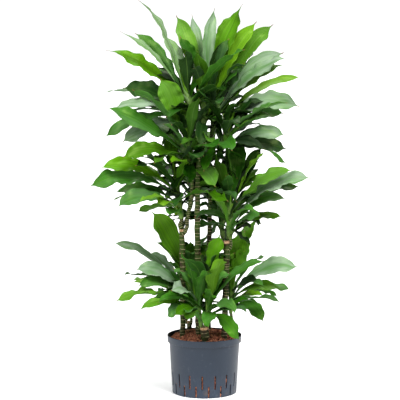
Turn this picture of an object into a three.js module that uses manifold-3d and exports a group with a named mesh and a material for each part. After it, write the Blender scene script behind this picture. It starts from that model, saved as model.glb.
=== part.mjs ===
// Potted cane dracaena: seven bare canes of staggered heights stand in clay granules in a
// slotted grow pot, and the side shoots of each cane carry a rosette of strap leaves.
// Millimetres, +Z up, front of the plant towards -Y, origin under the middle of the pot.

import * as THREE from "three";
import { mergeVertices } from "three/addons/utils/BufferGeometryUtils.js";
import Module from "manifold-3d";

const library = await Module();
library.setup();

// ---------------------------------------------------------------- driving dimensions

const GAP = 0.3; // clearance kept between touching pieces
const SLIVER = 0.05; // edges that a cut leaves shorter than this are closed up

const POT = {
  height: 190,
  rimRadius: 121.5,
  rimBand: 21,
  lipWall: 2.5,
  lipRound: 0.8,
  lipDraft: 1,
  stepRise: 1.5,
  topRadius: 115,
  footRadius: 105,
  footRound: 2,
  wall: 2.5,
  floor: 3,
  segments: 42,
};

const SLOT = {
  count: 16,
  width: 5.6,
  depth: 14,
  firstAngle: -93.8,
  rows: [
    { from: 28, to: 74, offset: 0 },
    { from: -1, to: 39, offset: 0.5 },
  ],
};

const BED = {
  edgeHeight: 177,
  shoulderRadius: 78,
  shoulderHeight: 192,
  crownHeight: 199,
  crownDrop: 1.5,
  segments: 28,
};

// Each cane: centre-line points from its buried foot to its cut top, and radii at both ends.
const CANES = {
  left: { points: [[-70, -27, 85], [-71, -26, 250], [-71, -25, 400], [-73, -25, 541]], radii: [8, 9] },
  right: { points: [[64, -57, 85], [65, -55, 250], [69, -52, 380], [72, -50, 506]], radii: [8, 10] },
  tall_left: {
    points: [[-18, -38, 70], [-20, -36, 300], [-23, -30, 600], [-19, -14, 790]],
    radii: [10, 8],
  },
  tall_right: {
    points: [[12, 32, 70], [13, 31, 300], [16, 30, 500], [20, 30, 712]],
    radii: [8.5, 7],
  },
  short_front: { points: [[1, -80, 95], [1, -81, 190], [0, -82, 231]], radii: [11, 13.5] },
  short_rear_left: { points: [[-50, 70, 95], [-50, 71, 180], [-50, 72, 221]], radii: [8, 8.5] },
  short_rear_right: { points: [[84, 45, 95], [85, 45, 180], [86, 45, 214]], radii: [7, 7.5] },
};

const CANE_SIDES = 10;
const CANE_STEP = 62;
const LEAST_CANE_STEPS = 4;
const FOOT_FLARE = { extra: 0.12, share: 0.25 };
const CUT_CHAMFER = 1.4;
const CANE_SAMPLES = 200;

// How a shoot leaves its cane: shares of the cane's and the shoot's radius, and of the way up.
const SPROUT = { inside: 0.35, reach: 0.6, rise: 2.2, pull: 0.4 };
const SHOOT_SIDES = 8;
const SHOOT_STEPS = 5;
const SHOOT_END = 28; // above the crown point
const SHOOT_STRAIGHT = 6; // straight stretch of the shoot below its sheath

// The sheath that the leaf bases wrap round the shoot, and the rolled young leaf on its top.
const SHEATH = { wall: 2.2, top: 34, belowTier: 7.5, belowLast: 12.5, seat: 0.55 };
const SPEAR = { length: 70, shoulder: 0.45, shoulderRadius: 0.62 };

const FIRST_LEAF = 14.8; // the topmost leaf base above the crown point
const LEAF_SPACING = 6.5; // between two leaf bases along the shoot
const TIER_BREAK = 12; // bare stretch between the upper and the lower leaves

// Stations along a leaf, from base to tip, with the share of its full width there.
const LEAF_STATIONS = [
  [0, 0.15],
  [0.14, 0.26],
  [0.32, 0.58],
  [0.52, 0.95],
  [0.71, 1],
  [0.87, 0.62],
];
const BLADE_FROM = 1; // first station of the free blade, clear of the clasping base
const LEAF_THICKNESS = 1.3;
const SHORTEST_EDGE = 0.02; // edges that a join leaves shorter than this are closed up
const LEAF_CLEARANCE = 0.8;
const FOLD = { base: 0.18, blade: 0.26, opens: [0, 0.3] }; // channel depth over half width
const ARCH = { least: 0.42, droop: 0.55, droopsBelow: 0.35, tipSpread: 0.25, pull: 0.36 };
const TURN_STRETCH = [0.05, 0.5];
const TIP_TWIST = { angle: 18, stretch: [0.55, 1] };
const STEEPEST_LEAF = 84;

// Leaf rows: tip from the crown point (right, back, up), width of the blade, the turn in degrees
// of the blade about its own length, its front edge going down, and how strongly it arches.
// filling: how many more leaves the head holds, in an arc of bearings centred on its back.
const HEADS = {
  top_left: {
    cane: "tall_left",
    sprout: { height: 776, bearing: 190 },
    crown: [-50, -15, 957],
    lean: [-0.3, -0.05, 1],
    radius: 6.5,
    leaves: [
      [-160, -60, 320, 40, 35, 0.8],
      [-215, -75, 220, 27, 40, 0.9],
      [-175, 50, 215, 42, 35, 0.8],
      [-265, -90, 155, 58, 40, 1.1],
      [-80, 70, 210, 52, 10, 0.6],
      [-100, 100, 105, 50, 0, 0.8],
      [-180, 60, 115, 44, 10, 1],
      [-215, 40, 35, 66, 50, 1.1],
      [-285, 85, 15, 32, 20, 1.3],
      [-250, 70, -30, 46, 38, 1.3],
      [-190, -45, -25, 50, 25, 1.2],
      [-275, -60, -120, 48, 35, 1.2],
      [-215, -105, -140, 60, 40, 1.0],
    ],
    filling: { count: 2, arc: 200 },
  },
  top_centre: {
    cane: "tall_left",
    sprout: { height: 774, bearing: 15 },
    crown: [2, 5, 937],
    lean: [0.1, 0, 1],
    radius: 7,
    leaves: [
      [-95, 100, 290, 62, 15, 0.5],
      [-80, 30, 225, 66, 0, 0.4],
      [-45, 135, 295, 40, 0, 0.4],
      [30, 60, 315, 42, 20, 0.4],
      [125, 110, 325, 78, 15, 0.5],
      [170, 60, 270, 56, 25, 0.6],
      [55, -70, 205, 48, 20, 0.8],
      [80, 70, 215, 50, 0, 0.5],
      [-30, -60, 175, 56, 0, 0.3],
      [55, -115, -50, 68, 10, 2.2],
    ],
    filling: { count: 3, arc: 200 },
  },
  top_right: {
    cane: "tall_right",
    sprout: { height: 698, bearing: 130 },
    crown: [37, 45, 928],
    lean: [0.15, 0.12, 1],
    radius: 6.5,
    leaves: [
      [190, 90, 270, 60, 30, 0.7],
      [60, 120, 205, 50, 0, 0.4],
      [90, 10, 135, 68, 25, 0.6],
      [220, 30, 185, 56, 45, 0.9],
      [235, -35, 165, 50, 45, 1.0],
      [230, -80, 140, 46, 45, 1.2],
      [285, 60, 95, 34, 30, 1.1],
      [270, -95, 10, 68, 48, 1.5],
      [100, 130, 90, 46, 0, 0.6],
    ],
    filling: { count: 3, arc: 200 },
  },
  upper_right: {
    cane: "tall_right",
    sprout: { height: 694, bearing: -25 },
    crown: [69, 5, 843],
    lean: [0.35, -0.05, 1],
    radius: 6,
    leaves: [
      [105, 40, 100, 60, 30, 1.2],
      [190, 20, 75, 48, 35, 1.2],
      [145, -90, 75, 40, 20, 1.0],
      [120, 110, 35, 40, 10, 1.0],
      [190, -20, -5, 56, 40, 1.5],
      [205, -95, -50, 62, 42, 1.5],
      [110, -150, -30, 56, 30, 1.3],
      [210, 50, -110, 30, 30, 1.2],
    ],
    filling: { count: 5, arc: 320 },
  },
  upper_left: {
    cane: "left",
    sprout: { height: 528, bearing: -10 },
    crown: [-53, -25, 807],
    lean: [-0.12, -0.1, 1],
    radius: 6.5,
    leaves: [
      [-90, -25, 220, 84, 75, 0.4],
      [35, -120, 165, 40, 0, 1.2],
      [-260, -60, 130, 66, 46, 0.4],
      [-205, -95, -25, 62, 36, 1.8],
      [-90, -60, -45, 60, 30, 1.4],
      [-50, -135, -40, 44, 10, 1.3],
      [90, -140, -110, 56, 20, 1.3],
      [50, -150, -15, 58, 10, 1.3],
      [-80, -95, 80, 40, 20, 0.9],
    ],
    filling: { count: 6, arc: 320 },
  },
  mid_left: {
    cane: "left",
    sprout: { height: 526, bearing: 185 },
    crown: [-89, 0, 669],
    lean: [-0.15, 0.1, 1],
    radius: 6.5,
    leaves: [
      [-245, -70, 80, 62, 42, 1.2],
      [-280, -75, 15, 64, 42, 1.6],
      [-205, 40, -20, 48, 34, 1.5],
      [-220, 90, -50, 40, 20, 1.4],
      [-190, -105, -45, 58, 42, 1.6],
      [-115, 110, 25, 42, 0, 1.2],
      [-115, -110, -25, 30, 10, 1.1],
      [-60, -120, -30, 50, 20, 1.4],
      [-25, -130, -70, 46, 10, 1.2],
    ],
    filling: { count: 5, arc: 260 },
  },
  mid_centre: {
    cane: "left",
    sprout: { height: 515, bearing: 90 },
    crown: [-40, 72, 677],
    lean: [0.1, 0.25, 1],
    radius: 5,
    leaves: [
      [65, 160, -45, 46, 10, 1.2],
      [-60, -145, -95, 32, 10, 1.1],
      [50, -165, -15, 52, 0, 1.3],
      [-35, -160, 0, 50, 0, 1.3],
    ],
    filling: { count: 7, arc: 360 },
  },
  mid_right: {
    cane: "right",
    sprout: { height: 480, bearing: 30 },
    crown: [79, -25, 610],
    lean: [-0.02, 0.12, 1],
    radius: 7,
    leaves: [
      [-20, 60, 245, 66, 0, 0.3],
      [40, 80, 215, 64, 10, 0.3],
      [-50, -60, 185, 50, 0, 0.4],
      [110, 60, 190, 46, 20, 0.5],
      [115, -30, 185, 40, 20, 0.6],
      [200, -80, 125, 56, 40, 1.5],
      [260, -70, 100, 58, 40, 1.8],
      [150, 60, 70, 56, 25, 1.2],
      [185, -20, 35, 50, 35, 1.7],
      [175, 45, -35, 34, 30, 1.5],
      [95, -110, -15, 50, 36, 1.5],
      [70, -155, 10, 46, 20, 1.6],
      [75, 65, -65, 34, 20, 1.1],
      [-60, -135, 40, 46, 20, 2.0],
    ],
    filling: { count: 1, arc: 200 },
  },
  mid_back: {
    cane: "right",
    sprout: { height: 474, bearing: 145 },
    crown: [52, 48, 585],
    lean: [-0.1, 0.2, 1],
    radius: 5.5,
    leaves: [
      [185, 110, 75, 50, 20, 1.2],
      [140, 60, 150, 56, 20, 0.7],
      [45, 110, 195, 56, 0, 0.4],
      [5, -95, -20, 36, 0, 1.2],
    ],
    filling: { count: 6, arc: 300 },
  },
  low_left: {
    cane: "short_rear_left",
    sprout: { height: 208, bearing: -60 },
    crown: [-47, 40, 337],
    lean: [0, -0.1, 1],
    radius: 4.5,
    leaves: [
      [-125, -20, 255, 82, 60, 0.5],
      [0, -50, 165, 36, 0, 0.3],
      [-175, -100, 80, 60, 44, 1.3],
      [-170, -110, 30, 46, 36, 1.4],
      [55, 110, 70, 50, 0, 0.5],
    ],
    filling: { count: 4, arc: 200 },
  },
  low_back: {
    cane: "short_rear_left",
    sprout: { height: 205, bearing: 150 },
    crown: [-71, 90, 315],
    lean: [-0.2, 0.15, 1],
    radius: 4.5,
    leaves: [
      [-230, 0, 175, 36, 36, 1.3],
      [-115, 30, 125, 44, 25, 1.1],
      [-180, -50, 40, 36, 20, 1.4],
    ],
    filling: { count: 4, arc: 200 },
  },
  low_front: {
    cane: "short_front",
    sprout: { height: 215, bearing: 155 },
    crown: [-24, -75, 311],
    lean: [-0.18, 0, 1],
    radius: 4.5,
    leaves: [
      [-80, -120, 55, 50, 35, 2.0],
      [-190, -60, -20, 40, 30, 1.3],
      [-125, -95, 15, 40, 20, 1.3],
      [-100, -90, -30, 44, 25, 1.5],
      [-65, -115, -20, 40, 20, 1.5],
      [-30, -115, -30, 44, 0, 1.5],
    ],
    filling: { count: 3, arc: 200 },
  },
  low_centre: {
    cane: "short_front",
    sprout: { height: 217, bearing: 15 },
    crown: [14, -85, 313],
    lean: [0.08, 0, 1],
    radius: 5,
    leaves: [
      [35, 30, 215, 62, 0, 0.3],
      [45, -90, 150, 70, 15, 0.9],
      [-30, 70, 160, 44, 0, 0.5],
      [80, -165, -5, 50, 22, 2.0],
      [0, -145, -55, 48, 0, 1.4],
      [95, -155, -95, 46, 25, 1.2],
    ],
    filling: { count: 3, arc: 200 },
  },
  low_right: {
    cane: "short_rear_right",
    sprout: { height: 202, bearing: 60 },
    crown: [91, 45, 336],
    lean: [0.05, 0, 1],
    radius: 5,
    leaves: [
      [40, -10, 190, 78, 75, 0.3],
      [215, -55, 80, 68, 44, 1.2],
      [160, -20, -5, 44, 35, 1.8],
      [160, 90, -40, 30, 20, 1.3],
      [100, -90, -15, 36, 20, 1.3],
      [75, -100, 35, 50, 40, 1.3],
      [100, -120, -90, 46, 34, 1.6],
    ],
    filling: { count: 3, arc: 200 },
  },
};

const FILLING = {
  turnBetween: 137.5,
  firstBearing: 35,
  steepest: 62,
  flattest: -12,
  length: 235,
  lengthSpread: 45,
  width: 54,
  widthSpread: 6,
  turnSpread: 12,
};

// How far a crowded leaf may be moved: back or forward in mm, its arch, its rise and bearing in
// degrees, and its length, each as the steps that are tried in turn.
const SETTLE = {
  depths: [0, -20, 20, -40, 40, -65, 65, 95, -95, 125],
  arches: [1, 0.7, 1.35],
  rises: [0, 5, -5, 10, -10],
  bearings: [0, 7, -7, 14, -14, 24, -24],
  lengths: [1, 0.86],
};
const SETTLE_FILLING = {
  depths: [0],
  arches: [1],
  rises: [0, 6, -6, 12, -12, 18],
  bearings: [0, 12, -12, 25, -25, 42, -42],
  lengths: [1, 0.86, 0.72],
};
const LAST_IN_LINE = 1e4;

const COLOURS = {
  pot: 0x4a5766,
  granules: 0x8a5236,
  cane: 0x5c6132,
  shoot: 0x7c8f45,
  upper: 0x5d9130,
  lower: 0x2f6a26,
};

// ---------------------------------------------------------------- solids and geometry

const UP = new THREE.Vector3(0, 0, 1);
const vector = ([x, y, z]) => new THREE.Vector3(x, y, z);
const radians = THREE.MathUtils.degToRad;

function solidOf(geometry) {
  geometry.deleteAttribute("normal");
  geometry.deleteAttribute("uv");
  const merged = mergeVertices(geometry, 1e-4);
  const mesh = new library.Mesh({
    numProp: 3,
    vertProperties: new Float32Array(merged.attributes.position.array),
    triVerts: new Uint32Array(merged.index.array),
  });
  return new library.Manifold(mesh);
}

function geometryOf(solid) {
  const mesh = solid.getMesh();
  const geometry = new THREE.BufferGeometry();
  geometry.setAttribute("position", new THREE.BufferAttribute(mesh.vertProperties, 3));
  geometry.setIndex(new THREE.BufferAttribute(mesh.triVerts, 1));
  geometry.computeVertexNormals();
  return geometry;
}

const largestBody = (solid) => {
  const bodies = solid.simplify(SLIVER).decompose();
  return bodies.reduce((best, body) => (body.volume() > best.volume() ? body : best));
};

// A closed skin through rings of equal length, with an end point beyond each end ring. The back
// half's diagonals mirror the front half's, so that both faces of a thin twisted blade agree.
function loft(rings, start, end) {
  const sides = rings[0].length;
  const points = [...rings.flat(), start, end];
  const index = [];
  for (let side = 0; side < sides; side += 1) {
    const next = (side + 1) % sides;
    index.push(points.length - 2, next, side);
    for (let ring = 0; ring + 1 < rings.length; ring += 1) {
      const [a, b] = [ring * sides + side, ring * sides + next];
      const [c, d] = [b + sides, a + sides];
      if (side < sides / 2) index.push(a, b, c, a, c, d);
      else index.push(a, b, d, b, c, d);
    }
    const last = (rings.length - 1) * sides;
    index.push(last + side, last + next, points.length - 1);
  }
  const geometry = new THREE.BufferGeometry().setFromPoints(points);
  geometry.setIndex(index);
  return geometry;
}

function ringAround(centre, tangent, radius, sides) {
  const across = new THREE.Vector3(1, 0, 0).projectOnPlane(tangent).normalize();
  const along = new THREE.Vector3().crossVectors(tangent, across);
  return Array.from({ length: sides }, (_, side) => {
    const angle = (side / sides) * 2 * Math.PI;
    return centre
      .clone()
      .addScaledVector(across, radius * Math.cos(angle))
      .addScaledVector(along, radius * Math.sin(angle));
  });
}

// A round stem along a chain of curves, each cut into its own number of equal steps.
// radiusAt gives the stem's radius at a share of the last curve's way.
function stem(curves, sides, radiusAt) {
  const rings = [];
  curves.forEach(({ curve, steps }, order) => {
    for (let step = order === 0 ? 0 : 1; step <= steps; step += 1) {
      const share = step / steps;
      rings.push(ringAround(curve.getPointAt(share), curve.getTangentAt(share), radiusAt(share), sides));
    }
  });
  const start = curves[0].curve.getPointAt(0);
  return solidOf(loft(rings, start, curves.at(-1).curve.getPointAt(1)));
}

// ---------------------------------------------------------------- pot and granules

function lathe(profile, segments) {
  const geometry = new THREE.LatheGeometry(
    profile.map(([radius, height]) => new THREE.Vector2(radius, height)),
    segments,
  );
  geometry.rotateX(Math.PI / 2);
  return solidOf(geometry);
}

const wallRadiusAt = (height) =>
  THREE.MathUtils.mapLinear(height, 0, POT.height - POT.rimBand, POT.footRadius, POT.topRadius);

function slotCutter(row, index) {
  const angle = radians(SLOT.firstAngle + ((index + row.offset) * 360) / SLOT.count);
  const height = row.to - row.from;
  const box = new THREE.BoxGeometry(SLOT.depth, SLOT.width, height);
  box.translate(wallRadiusAt(row.from) - POT.wall / 2 + SLOT.depth / 4, 0, row.from + height / 2);
  box.rotateZ(angle);
  return solidOf(box);
}

function makePot() {
  const band = POT.height - POT.rimBand;
  const lipInside = POT.rimRadius - POT.lipWall;
  const shell = lathe(
    [
      [0, 0],
      [POT.footRadius - POT.footRound, 0],
      [POT.footRadius, POT.footRound],
      [POT.topRadius, band],
      [POT.rimRadius - POT.lipDraft, band + POT.stepRise],
      [POT.rimRadius, POT.height - POT.lipRound],
      [POT.rimRadius - POT.lipRound, POT.height],
      [lipInside, POT.height],
      [lipInside - POT.lipDraft, band + 2 * POT.stepRise],
      [POT.topRadius - POT.wall, band],
      [POT.footRadius - POT.wall, POT.floor],
      [0, POT.floor],
    ],
    POT.segments,
  );
  return SLOT.rows.reduce((pot, row) => {
    const cutters = Array.from({ length: SLOT.count }, (_, index) => slotCutter(row, index));
    return cutters.reduce((cut, cutter) => cut.subtract(cutter), pot);
  }, shell);
}

function makeBed(canes) {
  const band = POT.height - POT.rimBand;
  const wallInside = POT.topRadius - POT.wall;
  const bed = lathe(
    [
      [0, POT.floor + GAP],
      [POT.footRadius - POT.wall - 2 * GAP, POT.floor + GAP],
      [wallInside - 2 * GAP, band - 2 * GAP],
      [wallInside, BED.edgeHeight],
      [BED.shoulderRadius, BED.shoulderHeight],
      [BED.shoulderRadius / 2, BED.crownHeight - BED.crownDrop],
      [0, BED.crownHeight],
    ],
    BED.segments,
  );
  return canes.reduce((left, cane) => left.subtract(cane), bed);
}

// ---------------------------------------------------------------- canes and shoots

const caneCurve = (cane) => new THREE.CatmullRomCurve3(cane.points.map(vector));

function makeCane(cane, clearance) {
  const curve = caneCurve(cane);
  const length = curve.getLength();
  const steps = Math.max(LEAST_CANE_STEPS, Math.round(length / CANE_STEP));
  const [foot, top] = cane.radii;
  return stem([{ curve, steps }], CANE_SIDES, (share) => {
    const flare = 1 + FOOT_FLARE.extra * Math.max(0, 1 - share / FOOT_FLARE.share);
    const chamfer = share === 1 ? CUT_CHAMFER : 0;
    return THREE.MathUtils.lerp(foot, top, share) * flare - chamfer + clearance;
  });
}

function canePointAt(cane, height) {
  const points = caneCurve(cane).getSpacedPoints(CANE_SAMPLES);
  return points.reduce((best, point) =>
    Math.abs(point.z - height) < Math.abs(best.z - height) ? point : best,
  );
}

// A shoot leaves the side of its cane, bends upright and ends inside its youngest leaves.
function shootCurves(head) {
  const cane = CANES[head.cane];
  const bearing = radians(head.sprout.bearing);
  const out = new THREE.Vector3(Math.cos(bearing), Math.sin(bearing), 0);
  const axis = vector(head.lean).normalize();
  const start = canePointAt(cane, head.sprout.height).addScaledVector(out, cane.radii[1] * SPROUT.inside);
  const elbow = start.clone().addScaledVector(out, cane.radii[1] + head.radius * SPROUT.reach);
  elbow.z += head.radius * SPROUT.rise;
  const crown = vector(head.crown);
  const low = crown.clone().addScaledVector(axis, -head.sheathDepth - SHOOT_STRAIGHT);
  const top = crown.clone().addScaledVector(axis, SHOOT_END);
  const pull = elbow.distanceTo(low) * SPROUT.pull;
  const upright = elbow.clone().addScaledVector(UP, pull);
  const leadIn = low.clone().addScaledVector(axis, -pull);
  return [
    { curve: new THREE.LineCurve3(start, elbow), steps: 1 },
    { curve: new THREE.CubicBezierCurve3(elbow, upright, leadIn, low), steps: SHOOT_STEPS },
    { curve: new THREE.LineCurve3(low, top), steps: 1 },
  ];
}

const makeShoot = (head) => stem(shootCurves(head), SHOOT_SIDES, () => head.radius);

// ---------------------------------------------------------------- leaves

const smooth = (share, [from, to]) => THREE.MathUtils.smoothstep(share, from, to);

function leafCurve(leaf) {
  const chord = leaf.tip.clone().sub(leaf.base);
  const length = chord.length();
  const along = chord.clone().normalize();
  const out = new THREE.Vector3(Math.cos(leaf.bearing), Math.sin(leaf.bearing), 0);
  const arch = leaf.arch * (ARCH.least + ARCH.droop * Math.max(0, ARCH.droopsBelow - along.z));
  const leaving = along.clone().addScaledVector(UP, arch).normalize();
  const ending = along.clone().addScaledVector(UP, -arch).addScaledVector(out, ARCH.tipSpread);
  ending.normalize();
  return new THREE.CubicBezierCurve3(
    leaf.base,
    leaf.base.clone().addScaledVector(leaving, length * ARCH.pull),
    leaf.tip.clone().addScaledVector(ending, -length * ARCH.pull),
    leaf.tip,
  );
}

// The four corners of a leaf's section: left edge, floor of the channel, right edge and keel.
function leafSection(leaf, curve, [share, widthShare], clearance) {
  const centre = curve.getPointAt(share);
  const tangent = curve.getTangentAt(share);
  const across = new THREE.Vector3(-Math.sin(leaf.bearing), Math.cos(leaf.bearing), 0);
  across.projectOnPlane(tangent).normalize();
  const face = new THREE.Vector3().crossVectors(tangent, across);
  const frontSign = Math.cos(leaf.bearing) <= 0 ? 1 : -1;
  const twist = TIP_TWIST.angle * smooth(share, TIP_TWIST.stretch);
  const roll = -frontSign * radians(leaf.turn * smooth(share, TURN_STRETCH) + twist);
  across.applyAxisAngle(tangent, roll);
  face.applyAxisAngle(tangent, roll);
  const half = (leaf.width / 2) * widthShare + clearance;
  const fold = THREE.MathUtils.lerp(FOLD.base, FOLD.blade, smooth(share, FOLD.opens));
  const rise = half * fold;
  const thickness = LEAF_THICKNESS + 2 * clearance;
  const corner = (side, height) =>
    centre.clone().addScaledVector(across, side).addScaledVector(face, height);
  const [channelFloor, keel] = [corner(0, clearance), corner(0, clearance - thickness)];
  return [corner(half, rise), channelFloor, corner(-half, rise), keel];
}

function leafSolid(leaf, { clearance = 0, from = 0 } = {}) {
  const curve = leafCurve(leaf);
  const rings = LEAF_STATIONS.slice(from).map((station) => leafSection(leaf, curve, station, clearance));
  const middle = rings[0][1].clone().lerp(rings[0][3], 0.5);
  return solidOf(loft(rings, middle, leaf.tip.clone()));
}

// How far below the crown point the base of a leaf sits, counted from the youngest leaf.
const baseDepth = (order, upperCount) =>
  order * LEAF_SPACING + (order >= upperCount ? TIER_BREAK : 0) - FIRST_LEAF;

// A leaf's own place on its head: base on the sheath wall, tip where its row puts it.
function placeLeaf(head, order, row, shift) {
  const crown = vector(head.crown);
  const axis = vector(head.lean).normalize();
  const tipFromCrown = new THREE.Vector3(row.side, row.depth + shift.depth, row.rise);
  const reach = Math.hypot(tipFromCrown.x, tipFromCrown.y);
  const length = tipFromCrown.length() * shift.length;
  const pitch = Math.min(Math.atan2(tipFromCrown.z, reach) + radians(shift.rise), radians(STEEPEST_LEAF));
  const bearing = Math.atan2(tipFromCrown.y, tipFromCrown.x) + radians(shift.bearing);
  const out = new THREE.Vector3(Math.cos(bearing), Math.sin(bearing), 0);
  const tip = crown.clone().addScaledVector(out, length * Math.cos(pitch));
  tip.z += length * Math.sin(pitch);
  const base = crown.clone().addScaledVector(axis, -baseDepth(order, head.upperCount));
  const seatRadius = head.radius + GAP + SHEATH.wall * SHEATH.seat;
  base.addScaledVector(out.clone().projectOnPlane(axis).normalize(), seatRadius);
  const width = row.width * shift.length;
  return { base, tip, bearing, width, turn: row.turn, arch: row.arch * shift.arch };
}

// ---------------------------------------------------------------- heads of leaves

const rowOf = ([side, depth, rise, width, turn, arch]) =>
  ({ side, depth, rise, width, turn, arch, filling: false });

const vary = (seed, index, channel) => Math.sin(seed * 2.4 + index * 1.7 + channel);

function fillingRows(head, seed) {
  const { count, arc } = head.filling;
  return Array.from({ length: count }, (_, index) => {
    const share = (index + 0.5) / count;
    const swing = ((FILLING.firstBearing * seed + FILLING.turnBetween * index) % 360) / 360;
    const bearing = radians(90 + (swing - 0.5) * arc);
    const pitch = radians(THREE.MathUtils.lerp(FILLING.steepest, FILLING.flattest, share));
    const length = FILLING.length + FILLING.lengthSpread * vary(seed, index, 0);
    return {
      side: length * Math.cos(pitch) * Math.cos(bearing),
      depth: length * Math.cos(pitch) * Math.sin(bearing),
      rise: length * Math.sin(pitch),
      width: FILLING.width + FILLING.widthSpread * vary(seed, index, 1),
      turn: FILLING.turnSpread * vary(seed, index, 2),
      arch: 1,
      filling: true,
    };
  });
}

const steepness = (row) => Math.atan2(row.rise, Math.hypot(row.side, row.depth));

function prepareHead([name, head], seed) {
  const rows = [...head.leaves.map(rowOf), ...fillingRows(head, seed + 1)];
  rows.sort((a, b) => steepness(b) - steepness(a));
  const upperCount = Math.ceil(rows.length / 2);
  const sheathDepth = baseDepth(rows.length - 1, upperCount) + SHEATH.belowLast;
  return { ...head, name, rows, upperCount, sheathDepth };
}

function sheathStretch(head, tier) {
  const split = baseDepth(head.upperCount - 1, head.upperCount) + SHEATH.belowTier;
  if (tier === "upper") return { top: SHEATH.top, bottom: -split };
  return { top: -split - GAP, bottom: -head.sheathDepth };
}

function tubeAlongAxis(head, bottom, top, radius, pointed) {
  const crown = vector(head.crown);
  const axis = vector(head.lean).normalize();
  const at = (height) => crown.clone().addScaledVector(axis, height);
  const ring = (height, size) => ringAround(at(height), axis, size, SHOOT_SIDES);
  const rings = [ring(bottom, radius), ring(top, radius)];
  if (pointed) rings.push(ring(top + SPEAR.length * SPEAR.shoulder, radius * SPEAR.shoulderRadius));
  return solidOf(loft(rings, at(bottom), at(pointed ? top + SPEAR.length : top)));
}

function makeSheath(head, tier) {
  const { top, bottom } = sheathStretch(head, tier);
  return tubeAlongAxis(head, bottom, top, head.radius + GAP + SHEATH.wall, tier === "upper");
}

function makeBore(head) {
  return tubeAlongAxis(head, -head.sheathDepth - GAP, SHOOT_END + GAP, head.radius + GAP, false);
}

const boxesMeet = (a, b) =>
  [0, 1, 2].every((axis) => a.min[axis] <= b.max[axis] && b.min[axis] <= a.max[axis]);

function meets(solid, others) {
  const box = solid.boundingBox();
  return others.some((other) => {
    if (!boxesMeet(box, other.box)) return false;
    const common = solid.intersect(other.solid);
    const touching = !common.isEmpty();
    common.delete();
    return touching;
  });
}

const withBox = (solid, tags) => ({ solid, box: solid.boundingBox(), ...tags });

function* shiftsOf({ lengths, bearings, rises, arches, depths }) {
  for (const length of lengths) {
    for (const bearing of bearings) {
      for (const rise of rises) {
        for (const arch of arches) {
          for (const depth of depths) yield { length, bearing, rise, arch, depth };
        }
      }
    }
  }
}

// Tries a leaf's own place first, then places a little aside, until it clears all the rest.
function settleLeaf(head, order, standing) {
  const tier = order < head.upperCount ? "upper" : "lower";
  const row = head.rows[order];
  const mine = (item) => item.head === head.name && item.tier === tier;
  const strangers = standing.filter((item) => !mine(item) && item.kind !== "bladeOnly");
  const sisters = standing.filter((item) => item.head === head.name && item.kind === "bladeOnly");
  const ownSheath = standing.filter((item) => mine(item) && item.kind === "sheath");
  const ownShoot = (item) => item.kind === "shoot" && item.head === head.name;
  const foreign = strangers.filter((item) => !ownShoot(item));
  for (const shift of shiftsOf(row.filling ? SETTLE_FILLING : SETTLE)) {
    const leaf = placeLeaf(head, order, row, shift);
    const blade = leafSolid(leaf, { clearance: LEAF_CLEARANCE, from: BLADE_FROM });
    const whole = leafSolid(leaf, { clearance: GAP });
    if (!meets(blade, [...sisters, ...ownSheath, ...foreign]) && !meets(whole, foreign)) {
      standing.push(withBox(blade, { head: head.name, tier, kind: "bladeOnly" }));
      standing.push(withBox(whole, { head: head.name, tier, kind: "leaf" }));
      return leaf;
    }
    blade.delete();
    whole.delete();
  }
  return null;
}

// The leaves of all heads take their places one after another, the widest first and the filling
// last; a leaf that finds no place is left out.
function settleAll(heads, fixtures) {
  const standing = [...fixtures];
  const settled = new Map(heads.map((head) => [head.name, []]));
  const queue = heads.flatMap((head) => head.rows.map((row, order) => ({ head, row, order })));
  const lateness = ({ row }) => (row.filling ? LAST_IN_LINE : -row.width);
  queue.sort((a, b) => lateness(a) - lateness(b));
  for (const { head, order } of queue) {
    const leaf = settleLeaf(head, order, standing);
    if (leaf) settled.get(head.name).push({ leaf, order });
  }
  return settled;
}

function makeTier(head, tier, leaves) {
  const sheath = makeSheath(head, tier);
  const joined = leaves.reduce((sum, leaf) => sum.add(leafSolid(leaf)), sheath);
  return largestBody(joined.subtract(makeBore(head))).simplify(SHORTEST_EDGE);
}

// ---------------------------------------------------------------- the whole plant

const plant = new THREE.Group();

function addPiece(name, solid, colour, roughness) {
  const material = new THREE.MeshStandardMaterial({ color: colour, roughness, metalness: 0 });
  const mesh = new THREE.Mesh(geometryOf(solid), material);
  mesh.name = name;
  plant.add(mesh);
}

const caneSolids = Object.entries(CANES).map(([name, cane]) => [name, makeCane(cane, 0)]);
const caneSpaces = new Map(Object.entries(CANES).map(([name, cane]) => [name, makeCane(cane, GAP)]));
const potSolid = makePot();
const bedSolid = makeBed([...caneSpaces.values()]);
const heads = Object.entries(HEADS).map(prepareHead);
const shootSolids = heads.map((head) => largestBody(makeShoot(head).subtract(caneSpaces.get(head.cane))));

const fixtures = [
  withBox(potSolid, { kind: "pot" }),
  withBox(bedSolid, { kind: "bed" }),
  ...[...caneSpaces.values()].map((solid) => withBox(solid, { kind: "cane" })),
  ...heads.map((head, index) => withBox(shootSolids[index], { kind: "shoot", head: head.name })),
  ...heads.flatMap((head) =>
    ["upper", "lower"].map((tier) =>
      withBox(makeSheath(head, tier), { kind: "sheath", head: head.name, tier }),
    ),
  ),
];
const settled = settleAll(heads, fixtures);

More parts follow.
